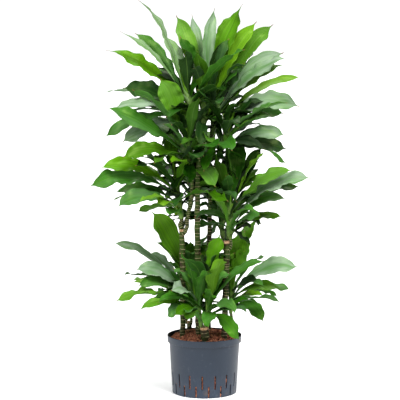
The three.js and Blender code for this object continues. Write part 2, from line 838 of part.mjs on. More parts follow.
addPiece("grow_pot", potSolid, COLOURS.pot, 0.6);
addPiece("clay_granules", bedSolid, COLOURS.granules, 0.95);
caneSolids.forEach(([name, solid]) => addPiece(`cane_${name}`, solid, COLOURS.cane, 0.7));
heads.forEach((head, index) => {
  addPiece(`${head.name}_shoot`, shootSolids[index], COLOURS.shoot, 0.6);
  const leaves = settled.get(head.name);
  const upper = leaves.filter(({ order }) => order < head.upperCount).map(({ leaf }) => leaf);
  const lower = leaves.filter(({ order }) => order >= head.upperCount).map(({ leaf }) => leaf);
  addPiece(`${head.name}_upper_leaves`, makeTier(head, "upper", upper), COLOURS.upper, 0.4);
  addPiece(`${head.name}_lower_leaves`, makeTier(head, "lower", lower), COLOURS.lower, 0.4);
});

export default plant;
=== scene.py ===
"""Potted cane dracaena: bare canes with rosettes of strap leaves in a slotted pot of clay granules.

Lengths are metres. Stems are rolled from flat sheets and leaves are bent from one flat blade, each
along the line that it reads from its node in the frame. The pot is turned on its axis, and the
granules are copies of a few kinds that lie round the canes and behind the slots.
"""

import math
import random

import bpy
import numpy as np
from bpy.props import FloatProperty, FloatVectorProperty, IntProperty, PointerProperty
from bpy.types import Operator, Panel, PropertyGroup
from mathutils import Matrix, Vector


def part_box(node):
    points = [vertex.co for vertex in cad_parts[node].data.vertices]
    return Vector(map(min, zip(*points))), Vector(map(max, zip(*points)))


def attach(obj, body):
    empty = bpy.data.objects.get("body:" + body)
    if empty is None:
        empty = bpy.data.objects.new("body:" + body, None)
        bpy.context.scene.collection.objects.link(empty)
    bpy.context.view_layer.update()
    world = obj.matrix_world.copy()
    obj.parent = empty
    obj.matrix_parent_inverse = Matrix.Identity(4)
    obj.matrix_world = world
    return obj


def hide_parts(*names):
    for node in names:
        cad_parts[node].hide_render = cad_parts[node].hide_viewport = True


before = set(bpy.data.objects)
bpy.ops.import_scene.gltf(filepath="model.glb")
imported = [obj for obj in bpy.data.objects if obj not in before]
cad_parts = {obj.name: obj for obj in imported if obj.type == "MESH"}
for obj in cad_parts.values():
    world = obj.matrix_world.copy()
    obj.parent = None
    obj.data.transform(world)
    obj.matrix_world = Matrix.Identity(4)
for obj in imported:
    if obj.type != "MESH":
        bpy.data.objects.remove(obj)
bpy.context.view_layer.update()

bl_info = {
    "name": "Potted Dracaena",
    "version": (1, 0, 0),
    "blender": (4, 5, 0),
    "location": "View3D > Sidebar > Dracaena",
    "description": "Canes with rosettes of strap leaves in a slotted pot of clay granules",
    "category": "Object",
}

MM = 0.001
UP = np.array([0.0, 0.0, 1.0])

# ---------------------------------------------------------------- what the frame's nodes are like

CANES = ["left", "right", "tall_left", "tall_right", "short_front", "short_rear_left", "short_rear_right"]
SHOOT_SIDES = 8
LEAF_SIDES = 4
LEAF_RINGS = 4  # a leaf has at least this many rings of points below its tip
SHARP_POINT = 3.4  # the angles round the point of a leaf add up to less than this
# Shares of a leaf's length at which its sections lie, measured from its base, the outermost first.
LEAF_SHARES = [0.87, 0.71, 0.52, 0.32, 0.14]
FULL_WIDTH_SHARE = 0.71
SPEAR_LENGTH = 70 * MM
SPEAR_SHOULDER_RADIUS = 0.62  # as a share of the radius of the sheath under it
SHEATH_WALL = 2.5 * MM
SHEATH_TOP = 34 * MM  # above the head's crown point

# ---------------------------------------------------------------- leaf shape and habit

# Half-width of the flattened blade along the leaf, as a share of its widest half-width.
BLADE_OUTLINE = [
    (0.10, 0.23), (0.14, 0.27), (0.22, 0.40), (0.32, 0.58), (0.42, 0.80), (0.52, 0.95), (0.62, 1.0),
    (0.71, 0.99), (0.79, 0.9), (0.86, 0.72), (0.905, 0.49), (0.935, 0.26), (0.953, 0.11), (0.97, 0.06),
    (0.985, 0.045), (1.0, 0.02),
]
# Half-angle in radians of the arc that the leaf's section makes along its length.
BLADE_ARC = [(0.0, 2.0), (0.06, 1.25), (0.14, 0.95), (0.25, 0.68), (0.4, 0.5), (0.7, 0.42), (1.0, 0.3)]
SHEATH_ARC = 2.65  # half-angle of a leaf base round its stem
SHEATH_DEPTH = 17 * MM  # how far a leaf base reaches down below its blade
SHEATH_FOOT = 0.5 * MM  # from the stem to a leaf base's lower rim
SHEATH_MOUTH = 3.0 * MM  # from the stem to its upper rim
BASE_SPACING = 5.2 * MM  # least step between two leaf bases
NECK_SHARE = 0.05  # where the blade is narrowest, above its sheath
GOLDEN_ANGLE = math.pi * (3 - math.sqrt(5))

# Tones: how lime, how dark and how much painted sheen a leaf has; the sheen is a painted reflection of the
# lights.
TONES = {
    # Lime is both the colour of young leaves and painted light on leaves lit from behind.
    "lime": (0.95, 0.0, 0.04),
    # A pale leaf carries much painted sheen.
    "pale": (0.6, 0.0, 0.7),
    "bright": (0.55, 0.0, 0.05),
    "mid": (0.1, 0.2, 0.12),
    # Deep and dark are both the colour of old leaves and painted shade on leaves in shadow.
    "deep": (0.0, 0.6, 0.06),
    "dark": (0.0, 1.0, 0.03),
    # The silvery tone is mostly painted sheen, a painted reflection of the lights.
    "silver": (0.1, 0.1, 0.95),
    "olive": (0.45, 0.4, 0.0),
}
TONE_SPREAD = 0.08  # how far each part of a leaf's tone strays
HIDDEN = "-"  # stands for a leaf that the photo doesn't show, whose tone is drawn
YOUNG_TONES = ["bright", "mid", "mid"]
AGED_TONES = ["deep", "deep", "mid", "olive"]
YOUNG_SHARE = 0.4  # the share of a rosette's leaves, from its top, that are young
# Each rosette: the tones of its leaves from the highest base down, then how many short dark leaves
# stand deep inside it, and the least pitch of those in degrees. Their dark is painted shade.
ROSETTES = {
    "top_left": ("pale pale mid pale - dark mid bright deep - silver silver olive mid silver", 8, -45),
    "top_centre": ("silver deep olive dark bright silver deep bright lime - olive -", 10, -30),
    "top_right": ("silver deep bright silver silver silver bright silver - lime silver -", 9, -45),
    "upper_right": ("dark - mid olive mid silver - silver - - dark mid", 14, -60),
    "upper_left": ("bright olive olive - mid mid mid deep deep - olive lime bright", 14, -60),
    "mid_left": ("- - - bright bright silver mid - mid lime mid olive lime mid", 9, -25),
    "mid_centre": ("- - - - - - dark lime", 12, -30),
    "mid_right": ("olive deep olive lime dark bright - olive silver bright mid mid mid olive dark", 9, -20),
    "mid_back": ("dark - olive olive - dark dark - -", 11, -25),
    "low_left": ("olive bright - deep deep silver - mid -", 8, -5),
    "low_back": ("- silver silver - lime lime -", 7, -5),
    "low_front": ("- silver mid bright bright olive mid olive", 9, 0),
    "low_centre": ("bright dark lime - dark - mid mid mid", 9, 0),
    "low_right": ("bright bright - silver dark mid bright lime mid mid", 8, -5),
}
# The short leaves inside the upper rosettes are painted dark: painted shade deep inside the rosette.
SHADED_INNER_TONES = ["dark", "dark", "dark", "dark", "deep", "deep", "olive"]
LOW_INNER_TONES = ["dark", "deep", "deep", "mid", "mid", "bright"]

# ---------------------------------------------------------------- settings that a user would change


class PotSettings(PropertyGroup):
    height: FloatProperty(
        name="Height", description="Height of the pot", default=190 * MM, unit="LENGTH"
    )
    rim_radius: FloatProperty(
        name="Rim radius", description="Outer radius of the rim", default=121.5 * MM, unit="LENGTH"
    )
    rim_band: FloatProperty(
        name="Rim band", description="Height of the collar round the rim", default=21 * MM, unit="LENGTH"
    )
    foot_radius: FloatProperty(
        name="Foot radius", description="Outer radius of the foot", default=105 * MM, unit="LENGTH"
    )
    wall: FloatProperty(name="Wall", description="Thickness of the wall", default=2.5 * MM, unit="LENGTH")
    slots: IntProperty(name="Slots", description="Drain slots in each of the two rows", default=16)
    plastic: FloatVectorProperty(
        name="Plastic", description="Colour of the moulded plastic", default=(0.015, 0.023, 0.037),
        subtype="COLOR",
    )


class GranuleSettings(PropertyGroup):
    count: IntProperty(name="Granules", description="Granules on the surface", default=1050)
    size: FloatProperty(
        name="Size", description="Mean radius of a granule", default=4.3 * MM, unit="LENGTH"
    )
    light: FloatVectorProperty(
        name="Light clay", description="Colour of the palest granules", default=(0.6, 0.26, 0.15),
        subtype="COLOR",
    )
    dark: FloatVectorProperty(
        name="Dark clay", description="Colour of the darkest granules", default=(0.035, 0.009, 0.004),
        subtype="COLOR",
    )


class StemSettings(PropertyGroup):
    cane_rings: FloatProperty(
        name="Cane rings", description="Step between two leaf scars on a cane", default=12.5 * MM,
        unit="LENGTH",
    )
    shoot_rings: FloatProperty(
        name="Shoot rings", description="Step between two leaf scars on a shoot", default=6.5 * MM,
        unit="LENGTH",
    )
    bark: FloatVectorProperty(
        name="Bark", description="Colour of the canes", default=(0.03, 0.045, 0.006), subtype="COLOR"
    )
    scar: FloatVectorProperty(
        name="Scar", description="Colour of the leaf scars", default=(0.5, 0.42, 0.24), subtype="COLOR"
    )


class LeafSettings(PropertyGroup):
    thickness: FloatProperty(
        name="Thickness", description="Thickness of a blade", default=0.75 * MM, unit="LENGTH"
    )
    wave: FloatProperty(
        name="Wave", description="Height of the waves along the margins", default=5.2 * MM, unit="LENGTH"
    )
    green: FloatVectorProperty(
        name="Green", description="Colour of a grown leaf", default=(0.028, 0.162, 0.002), subtype="COLOR"
    )
    # Also painted light: leaves lit from behind are given this lime.
    lime: FloatVectorProperty(
        name="Lime", description="Colour of a young leaf", default=(0.11, 0.27, 0.003), subtype="COLOR"
    )
    # Also painted shade: leaves in shadow are given this dark green.
    dark: FloatVectorProperty(
        name="Dark", description="Colour of an old leaf", default=(0.003, 0.021, 0.001), subtype="COLOR"
    )
    # Painted sheen: a painted reflection of the lights between the veins.
    silver: FloatVectorProperty(
        name="Silver", description="Colour of the sheen between the veins", default=(0.275, 0.345, 0.265),
        subtype="COLOR",
    )


class StageSettings(PropertyGroup):
    lens: FloatProperty(name="Lens", description="Focal length in millimetres", default=145.35)
    distance: FloatProperty(
        name="Distance", description="From the camera to the plant", default=5.2, unit="LENGTH"
    )
    eye_height: FloatProperty(
        name="Eye height", description="Height of the camera", default=1.238, unit="LENGTH"
    )
    tilt: FloatProperty(
        name="Tilt", description="How far the camera looks down", default=math.radians(6.64),
        subtype="ANGLE",
    )
    floor: FloatVectorProperty(
        name="Floor", description="Colour of the floor", default=(0.94, 0.94, 0.94), subtype="COLOR"
    )


SETTINGS = {
    "dracaena_pot": PotSettings,
    "dracaena_granules": GranuleSettings,
    "dracaena_stems": StemSettings,
    "dracaena_leaves": LeafSettings,
    "dracaena_stage": StageSettings,
}

# ---------------------------------------------------------------- shader maths


class Wire:
    """One output socket. Arithmetic on it adds the Math node that works it out."""

    def __init__(self, shader, socket):
        self.shader = shader
        self.socket = socket

    def maths(self, operation, *values):
        return self.shader.node("ShaderNodeMath", {"operation": operation}, dict(enumerate(values)))

    def __add__(self, other):
        return self.maths("ADD", self, other)

    def __sub__(self, other):
        return self.maths("SUBTRACT", self, other)

    def __rsub__(self, other):
        return self.maths("SUBTRACT", other, self)

    def __mul__(self, other):
        return self.maths("MULTIPLY", self, other)

    def __abs__(self):
        return self.maths("ABSOLUTE", self)

    __radd__ = __add__
    __rmul__ = __mul__


class Shader:
    """A material whose nodes are added one by one through node()."""

    def __init__(self, name):
        self.material = bpy.data.materials.new(name)
        self.material.use_nodes = True
        self.tree = self.material.node_tree
        self.surface = self.tree.nodes["Principled BSDF"]

    def node(self, kind, settings=None, sockets=None, output=0):
        made = self.tree.nodes.new(kind)
        for name, value in (settings or {}).items():
            if name == "stops":
                self.set_stops(made.color_ramp, value)
            else:
                setattr(made, name, value)
        for name, value in (sockets or {}).items():
            self.feed(made.inputs[name], value)
        return Wire(self, made.outputs[output])

    def feed(self, socket, value):
        if isinstance(value, Wire):
            self.tree.links.new(value.socket, socket)
        elif hasattr(value, "__len__") and socket.type == "RGBA":
            socket.default_value = (*value[:3], 1.0)
        else:
            socket.default_value = value

    def set_stops(self, ramp, stops):
        while len(ramp.elements) < len(stops):
            ramp.elements.new(1.0)
        for element, (place, colour) in zip(ramp.elements, stops):
            element.position = place
            element.color = (*colour[:3], 1.0)

    def finish(self, **sockets):
        for name, value in sockets.items():
            self.feed(self.surface.inputs[name.replace("_", " ")], value)
        return self.material

    def mix(self, factor, first, second):
        settings = {"data_type": "RGBA", "clamp_factor": True}
        return self.node("ShaderNodeMix", settings, {0: factor, 6: first, 7: second}, 2)

    def step(self, value, low, high):
        """0 below low and 1 above high, or the other way round where low is the larger."""
        sockets = {"Value": value, "From Min": low, "From Max": high}
        return self.node("ShaderNodeMapRange", {"interpolation_type": "SMOOTHSTEP"}, sockets)

    def noise(self, vector, scale, detail=2.0, roughness=0.5):
        sockets = {"Vector": vector, "Scale": scale, "Detail": detail, "Roughness": roughness}
        return self.node("ShaderNodeTexNoise", {}, sockets)

    def vector(self, x, y, z=0.0):
        return self.node("ShaderNodeCombineXYZ", {}, {0: x, 1: y, 2: z})

    def places(self):
        return self.node("ShaderNodeTexCoord", {}, {}, "Object")

    def split(self, vector):
        made = self.tree.nodes.new("ShaderNodeSeparateXYZ")
        self.feed(made.inputs[0], vector)
        return [Wire(self, socket) for socket in made.outputs]

    def uv(self):
        return self.split(self.node("ShaderNodeUVMap", {"uv_map": "UVMap"}))[:2]

    def attribute(self, name, output="Fac"):
        return self.node("ShaderNodeAttribute", {"attribute_name": name}, {}, output)

    def bump(self, height, distance, strength):
        sockets = {"Height": height, "Distance": distance, "Strength": strength}
        return self.node("ShaderNodeBump", {}, sockets)


# ---------------------------------------------------------------- materials

SCUFF_GREY = (0.22, 0.24, 0.27)
SOIL_BROWN = (0.14, 0.09, 0.055)
BROWN_CLAY = (0.16, 0.042, 0.018)
RED_CLAY = (0.34, 0.115, 0.056)
OLD_BARK = (0.032, 0.02, 0.009)
FRESH_BARK = (0.05, 0.1, 0.014)
SAWN_WOOD = (0.52, 0.33, 0.19)
DARK_WOOD = (0.16, 0.075, 0.032)
# Under faces are mixed towards this duller green, made darker as painted shade.
SHADED_UNDER_GREEN = (0.02, 0.06, 0.01)
RIB_GREEN = (0.14, 0.26, 0.05)
MARGIN_GREEN = (0.2, 0.28, 0.07)
BASE_GREEN = (0.17, 0.27, 0.07)
DRY_BROWN = (0.13, 0.075, 0.03)


def shade_of(colour, share):
    """A colour made darker, or paler where share is above 1."""
    return tuple(min(1.0, share * part) for part in colour)


def plastic_material(colour):
    """Moulded plastic, paler towards its foot from dust and from painted light bounced up off the floor,
    with faint scuffs and traces of soil.
    """
    shader = Shader("pot_plastic")
    places = shader.places()
    height = shader.split(places)[2]
    cloud = shader.noise(places, scale=14.0, detail=4.0, roughness=0.6)
    grain = shader.noise(places, scale=900.0)
    scuffs = shader.step(shader.noise(places, scale=55.0, detail=5.0, roughness=0.7), 0.56, 0.72)
    # Paler towards the foot: dust, and painted light bounced up off the floor.
    dust_and_painted_light = shader.step(height, 0.09, 0.0) * (cloud * 0.6 + 0.3)
    base = shader.mix(cloud * 0.25 + dust_and_painted_light * 0.9, colour, shade_of(colour, 1.75))
    base = shader.mix(scuffs * 0.1, base, SCUFF_GREY)
    soil = shader.step(shader.noise(places, scale=30.0, detail=3.0), 0.58, 0.75)
    soil = soil * shader.step(height, 0.05, 0.0)
    base = shader.mix(soil * 0.45, base, SOIL_BROWN)
    return shader.finish(
        Base_Color=base,
        Roughness=scuffs * 0.12 + cloud * 0.12 + 0.4,
        Normal=shader.bump(grain + scuffs * 0.5, 0.12 * MM, 0.5),
        Specular_IOR_Level=0.3,
        Sheen_Weight=0.12,
        Sheen_Roughness=0.35,
    )


def clay_material(light, dark):
    """Fired clay, each granule in its own shade, with its pores darkened by painted shade."""
    shader = Shader("fired_clay")
    places = shader.places()
    shade = shader.attribute("shade")
    pores = shader.noise(places, scale=620.0, detail=4.0, roughness=0.65)
    patches = shader.noise(places, scale=170.0)
    stops = [(0.0, dark), (0.35, BROWN_CLAY), (0.68, RED_CLAY), (1.0, light)]
    base = shader.node("ShaderNodeValToRGB", {"stops": stops}, {0: shade * 0.75 + patches * 0.3})
    # Painted shade: the pits of the pores are darkened.
    base = shader.mix(shader.step(pores, 0.5, 0.3) * 0.6, base, dark)
    return shader.finish(
        Base_Color=base,
        Roughness=pores * 0.2 + 0.75,
        Normal=shader.bump(pores, 0.7 * MM, 0.9),
    )


def bark_material(name, bark, scar, streaks):
    """Bark with brown streaks, pale leaf scars, green young parts and sawn ends."""
    shader = Shader(name)
    places = shader.places()
    around, along = shader.uv()
    ring, cut, green = shader.split(shader.attribute("bark", "Color"))
    grain = shader.vector(around * 26.0, along * 22.0)
    grain = shader.noise(grain, scale=1.0, detail=4.0, roughness=0.6)
    cork = shader.noise(places, scale=260.0, detail=4.0, roughness=0.65)
    patches = shader.noise(places, scale=38.0, detail=3.0)
    base = shader.mix(shader.step(grain, 0.35, 0.65), bark, shade_of(bark, 0.32))
    base = shader.mix(shader.step(patches, 0.48, 0.62) * streaks, base, OLD_BARK)
    base = shader.mix(green * shader.step(patches, 0.7, 0.4), base, FRESH_BARK)
    base = shader.mix(shader.step(ring, 0.4, 0.85) * shader.step(cork, 0.2, 0.45), base, scar)
    wood = shader.mix(shader.step(cork, 0.4, 0.65), SAWN_WOOD, DARK_WOOD)
    base = shader.mix(shader.step(cut + cork * 0.35 + patches * 0.35, 0.68, 0.9), base, wood)
    return shader.finish(
        Base_Color=base,
        Roughness=cork * 0.25 + 0.5,
        Normal=shader.bump(grain * 0.6 + cork * 0.5, 0.5 * MM, 0.7),
        Specular_IOR_Level=0.15,
    )


def leaf_green(shader, settings, lines, fine, broad):
    """The green of one leaf, striped along its veins, with a silvery painted sheen between them, a painted
    reflection of the lights.
    """
    lime, dark, silver = shader.split(shader.attribute("tone", "Color"))
    base = shader.mix(lines * 0.75, settings.green, shade_of(settings.green, 0.5))
    # Lime: young leaves, and painted light on leaves lit from behind.
    young = shader.mix(lines * 0.65, settings.lime, shade_of(settings.lime, 0.55))
    base = shader.mix(lime, base, young)
    # Dark: old leaves, and painted shade on leaves in shadow.
    old = shader.mix(lines * 0.5, settings.dark, shade_of(settings.dark, 0.45))
    base = shader.mix(dark, base, old)
    # Painted sheen: broad patches of painted reflection of the lights.
    sheen = silver * (shader.step(broad + fine * 0.3, 0.4, 0.9) * 0.66 + 0.18)
    base = shader.mix(sheen, base, settings.silver)
    # Fine streaks of painted reflection on every leaf.
    return shader.mix(shader.step(fine, 0.55, 0.8) * (silver * 0.2 + 0.01), base, settings.silver)


def leaf_material(name, settings, under):
    """A blade's face: its green with the midrib, the margins, a paler base and a dry tip."""
    shader = Shader(name)
    across_uv, along = shader.uv()
    across = abs(across_uv * 2.0 - 1.0)
    seed = shader.attribute("tone", "Alpha")
    fine = shader.noise(shader.vector(across_uv * 95.0, along * 2.2, seed * 31.0), scale=1.0)
    streak = shader.vector(across_uv * 30.0, along * 1.5, seed * 17.0)
    streak = shader.noise(streak, scale=1.0, detail=3.0)
    broad = shader.noise(shader.vector(across_uv * 2.6, along * 3.0, seed * 11.0), scale=1.0)
    rib = shader.step(across, 0.055, 0.015)
    dry = shader.step(along + across * 0.01, 0.945, 0.962) * shader.step(seed, 0.15, 0.25)

    base = leaf_green(shader, settings, shader.step(streak, 0.38, 0.62), fine, broad)
    if under:
        # Under face: a duller green that is also darker, painted shade on the face that looks down.
        base = shader.mix(0.3, base, SHADED_UNDER_GREEN)
    base = shader.mix(rib * (0.4 if under else 0.14), base, RIB_GREEN)
    base = shader.mix(shader.step(across, 0.955, 0.99) * 0.1, base, MARGIN_GREEN)
    base = shader.mix(shader.step(along, 0.26, 0.06) * 0.7, base, BASE_GREEN)
    base = shader.mix(dry, base, DRY_BROWN)
    relief = streak * 0.7 + fine * 0.35 - rib * (-0.8 if under else 0.8)
    return shader.finish(
        Base_Color=base,
        Roughness=streak * 0.2 + (0.45 if under else 0.25) + dry * 0.3,
        Normal=shader.bump(relief, 0.35 * MM, 0.55),
        Specular_IOR_Level=0.1 if under else 0.18,
        Specular_Tint=(0.75, 1.0, 0.25),
    )


def floor_material(colour):
    """A pale floor that glows a little, so that it runs into the pale background."""
    shader = Shader("pale_floor")
    cloud = shader.noise(shader.places(), scale=1.2)
    return shader.finish(
        Base_Color=shader.mix(cloud * 0.25, colour, shade_of(colour, 0.97)),
        Roughness=0.7,
        Emission_Color=(1.0, 1.0, 1.0, 1.0),
        Emission_Strength=0.07,
    )


# ---------------------------------------------------------------- reading the frame's nodes

MOST_SECTIONS = 400
FEWEST_POINTS = 6  # a stem's section has at least this many points
SECTION_REACH = 2.2  # how far from the axis they are looked for, in radii
SAME_STEM = (0.75, 1.35)  # how much a stem's radius may change from one section to the next


def unit(vectors):
    return vectors / np.linalg.norm(vectors, axis=-1, keepdims=True)


class Shell:
    """A node's mesh with its doubled points merged, its edges and the neighbours of each point."""

    def __init__(self, node):
        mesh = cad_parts[node].data
        places = np.empty(len(mesh.vertices) * 3)
        mesh.vertices.foreach_get("co", places)
        corners = np.empty(len(mesh.loops), int)
        mesh.loops.foreach_get("vertex_index", corners)
        self.places, shared = np.unique(places.reshape(-1, 3).round(6), axis=0, return_inverse=True)
        self.triangles = shared.reshape(-1)[corners].reshape(-1, 3)
        pairs = [self.triangles[:, [corner, (corner + 1) % 3]] for corner in range(3)]
        self.edges = np.unique(np.sort(np.concatenate(pairs), axis=1), axis=0)
        self.near = {point: set() for point in range(len(self.places))}
        for first, second in self.edges:
            self.near[first].add(second)
            self.near[second].add(first)

    def sharpness(self, point):
        """The angles that the faces make at a point, added up."""
        total = 0.0
        for face in self.triangles[(self.triangles == point).any(axis=1)]:
            first, second = unit(self.places[face[face != point]] - self.places[point])
            total += math.acos(max(-1.0, min(1.0, float(first @ second))))
        return total

    def rings_below(self, point, sides):
        """Rings of so many points each, from a pointed end inwards."""
        seen = {point}
        ring = self.near[point]
        rings = []
        while len(ring) == sides:
            rings.append(self.places[sorted(ring)])
            seen |= ring
            ring = set().union(*(self.near[other] for other in ring)) - seen
        return rings

    def pointed_ends(self, sides):
        """The tip of each pointed end with so many sides, and the rings of points below it."""
        for point, near in self.near.items():
            if len(near) == sides and self.sharpness(point) < SHARP_POINT:
                yield self.places[point], self.rings_below(point, sides)

    def section(self, place, normal, reach):
        """Where the edges cross a plane, no further than reach from place."""
        ends = self.places[self.edges]
        offsets = (ends - place) @ normal
        crossing = offsets[:, 0] * offsets[:, 1] < 0
        ends, offsets = ends[crossing], offsets[crossing]
        share = offsets[:, :1] / (offsets[:, :1] - offsets[:, 1:])
        points = ends[:, 0] + (ends[:, 1] - ends[:, 0]) * share
        return points[np.linalg.norm(points - place, axis=1) < reach]


def follow_stem(shell, place, direction, step, radius):
    """Centres and radii of a stem's sections, from place on along direction."""
    centres, radii = [], []
    for _ in range(MOST_SECTIONS):
        ahead = place + direction * step
        points = shell.section(ahead, direction, SECTION_REACH * radius)
        if len(points) < FEWEST_POINTS:
            break
        centre = points.mean(axis=0)
        size = np.linalg.norm(points - centre, axis=1).max()
        if centres and not SAME_STEM[0] < size / radii[-1] < SAME_STEM[1]:
            break
        direction = unit(centre - place)
        place = centre
        centres.append(centre)
        radii.append(size)
    return np.array(centres), np.array(radii)


# ---------------------------------------------------------------- smooth lines and frames


def smooth_through(knots, values, at):
    """A smooth line through values at knots, read at the shares in at."""
    knots, values, at = np.asarray(knots, float), np.asarray(values, float), np.asarray(at, float)
    if values.ndim == 1:
        return smooth_through(knots, values[:, None], at)[:, 0]
    steps = np.diff(knots)[:, None]
    slopes = np.diff(values, axis=0) / steps
    middle = (slopes[:-1] * steps[1:] + slopes[1:] * steps[:-1]) / (steps[1:] + steps[:-1])
    tangents = np.concatenate([slopes[:1], middle, slopes[-1:]])
    piece = np.clip(np.searchsorted(knots, at, side="right") - 1, 0, len(knots) - 2)
    step = steps[piece]
    share = (at - knots[piece])[:, None] / step
    square, cube = share**2, share**3
    return (
        values[piece] * (2 * cube - 3 * square + 1)
        + tangents[piece] * step * (cube - 2 * square + share)
        + values[piece + 1] * (3 * square - 2 * cube)
        + tangents[piece + 1] * step * (cube - square)
    )


def smoothstep(values, low, high):
    share = np.clip((np.asarray(values, float) - low) / (high - low), 0.0, 1.0)
    return share * share * (3 - 2 * share)


def lengths_along(line):
    return np.concatenate([[0.0], np.cumsum(np.linalg.norm(np.diff(line, axis=0), axis=1))])


def untwisted_frames(line):
    """Two directions across a line at each point, turning no more than the line does."""
    tangents = unit(np.gradient(line, axis=0))
    side = unit(np.cross(tangents[0], [0.0, 1.0, 0.2]))
    sides = []
    for tangent in tangents:
        side = unit(side - tangent * (side @ tangent))
        sides.append(side)
    sides = np.array(sides)
    return sides, np.cross(tangents, sides)


# ---------------------------------------------------------------- modelling helpers


def add(primitive, name, **settings):
    """Adds a primitive with nothing else selected, because operators act on all that is selected."""
    bpy.ops.object.select_all(action="DESELECT")
    primitive(**settings)
    thing = bpy.context.object
    thing.name = name
    return thing


def select_only(*objects):
    bpy.ops.object.select_all(action="DESELECT")
    for thing in objects:
        thing.select_set(True)
    bpy.context.view_layer.objects.active = objects[0]


def edit_all():
    bpy.ops.object.mode_set(mode="EDIT")
    bpy.ops.mesh.select_all(action="SELECT")


def leave_edit():
    bpy.ops.object.mode_set(mode="OBJECT")


def points_of(thing):
    places = np.empty(len(thing.data.vertices) * 3)
    thing.data.vertices.foreach_get("co", places)
    return places.reshape(-1, 3)


def set_points(thing, places):
    thing.data.vertices.foreach_set("co", np.asarray(places, np.float32).ravel())
    thing.data.update()


def apply_modifier(thing, kind, **settings):
    select_only(thing)
    modifier = thing.modifiers.new(kind.lower(), kind)
    for name, value in settings.items():
        setattr(modifier, name, value)
    bpy.ops.object.modifier_apply(modifier=modifier.name)


def copy_of(thing):
    twin = thing.copy()
    twin.data = thing.data.copy()
    bpy.context.collection.objects.link(twin)
    return twin


def join(things, name):
    select_only(*things)
    if len(things) > 1:
        bpy.ops.object.join()
    joined = things[0]
    joined.name = name
    joined.data.name = name
    return joined


def grid(name, columns, rows):
    """A flat sheet that reaches from -1 to 1 both ways."""
    add_grid = bpy.ops.mesh.primitive_grid_add
    return add(add_grid, name, x_subdivisions=columns, y_subdivisions=rows, size=2.0)


def close_up(thing, smallest):
    """Closes the seam and the poles of a rolled sheet, and turns its faces outwards."""
    select_only(thing)
    edit_all()
    bpy.ops.mesh.remove_doubles(threshold=smallest)
    bpy.ops.mesh.select_all(action="SELECT")
    bpy.ops.mesh.normals_make_consistent(inside=False)
    leave_edit()


def smooth_shade(thing, angle=None):
    select_only(thing)
    if angle is None:
        bpy.ops.object.shade_smooth()
    else:
        bpy.ops.object.shade_smooth_by_angle(angle=math.radians(angle))


def paint(thing, name, kind, values):
    """Writes one value or colour for each point of a mesh."""
    layer = thing.data.attributes.get(name) or thing.data.attributes.new(name, kind, "POINT")
    field = "color" if kind == "FLOAT_COLOR" else "value"
    layer.data.foreach_set(field, np.asarray(values, np.float32).ravel())


def hand_over(piece, material, slot, *nodes):
    """A finished piece: its material, its body and the nodes that it stands for. Its slot is not used."""
    if material is not None:
        piece.data.materials.clear()
        piece.data.materials.append(material)
    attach(piece, "root")
    if nodes:
        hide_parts(*nodes)


# ---------------------------------------------------------------- pot

POT_SEGMENTS = 192
TOP_RADIUS_STEP = 6.5 * MM  # the body's top lies this far inside the rim
POT_FLOOR = 3 * MM
SLOT_WIDTH = 5.6 * MM
SLOT_DEPTH = 14 * MM
SLOT_ROUNDING = 0.42  # the bevel of a slot's ends, as a share of its width
FIRST_SLOT = math.radians(-93.8)
# Foot and head of the slots in each row, and the row's shift as a share of the step between slots.
SLOT_ROWS = [(28 * MM, 74 * MM, 0.0), (-4 * MM, 39 * MM, 0.5)]
POLE = 0.02 * MM  # a turned shape starts this near its axis
POLE_MERGE = 0.06 * MM  # and points nearer than this are merged when it is closed


def arc(centre, radius, start, end, steps=4):
    """Points on a round corner of a profile, angles in degrees from straight out."""
    angles = np.radians(np.linspace(start, end, steps + 1))
    return [(centre[0] + radius * math.cos(a), centre[1] + radius * math.sin(a)) for a in angles]


def revolve(name, profile, segments):
    """Extrudes a ring from one (radius, height) of the profile to the next, and closes its poles."""
    radius, height = profile[0]
    turned = add(bpy.ops.mesh.primitive_circle_add, name, vertices=segments, radius=radius)
    edit_all()
    bpy.ops.transform.translate(value=(0, 0, height))
    for next_radius, next_height in profile[1:]:
        bpy.ops.mesh.extrude_region_move(
            TRANSFORM_OT_translate={"value": (0, 0, next_height - height)}
        )
        scale = next_radius / radius
        bpy.ops.transform.resize(value=(scale, scale, 1.0), center_override=(0, 0, next_height))
        radius, height = next_radius, next_height
    leave_edit()
    close_up(turned, POLE_MERGE)
    return turned


def wall_radius(pot, height):
    """Outer radius of the pot's body, which narrows evenly towards its foot."""
    top = pot.rim_radius - TOP_RADIUS_STEP
    return pot.foot_radius + (top - pot.foot_radius) * height / pot.height


def slots_of(pot):
    """Foot, head and bearing of every slot, row by row."""
    for low, high, shift in SLOT_ROWS:
        for index in range(pot.slots):
            yield low, high, FIRST_SLOT + (index + shift) * 2 * math.pi / pot.slots


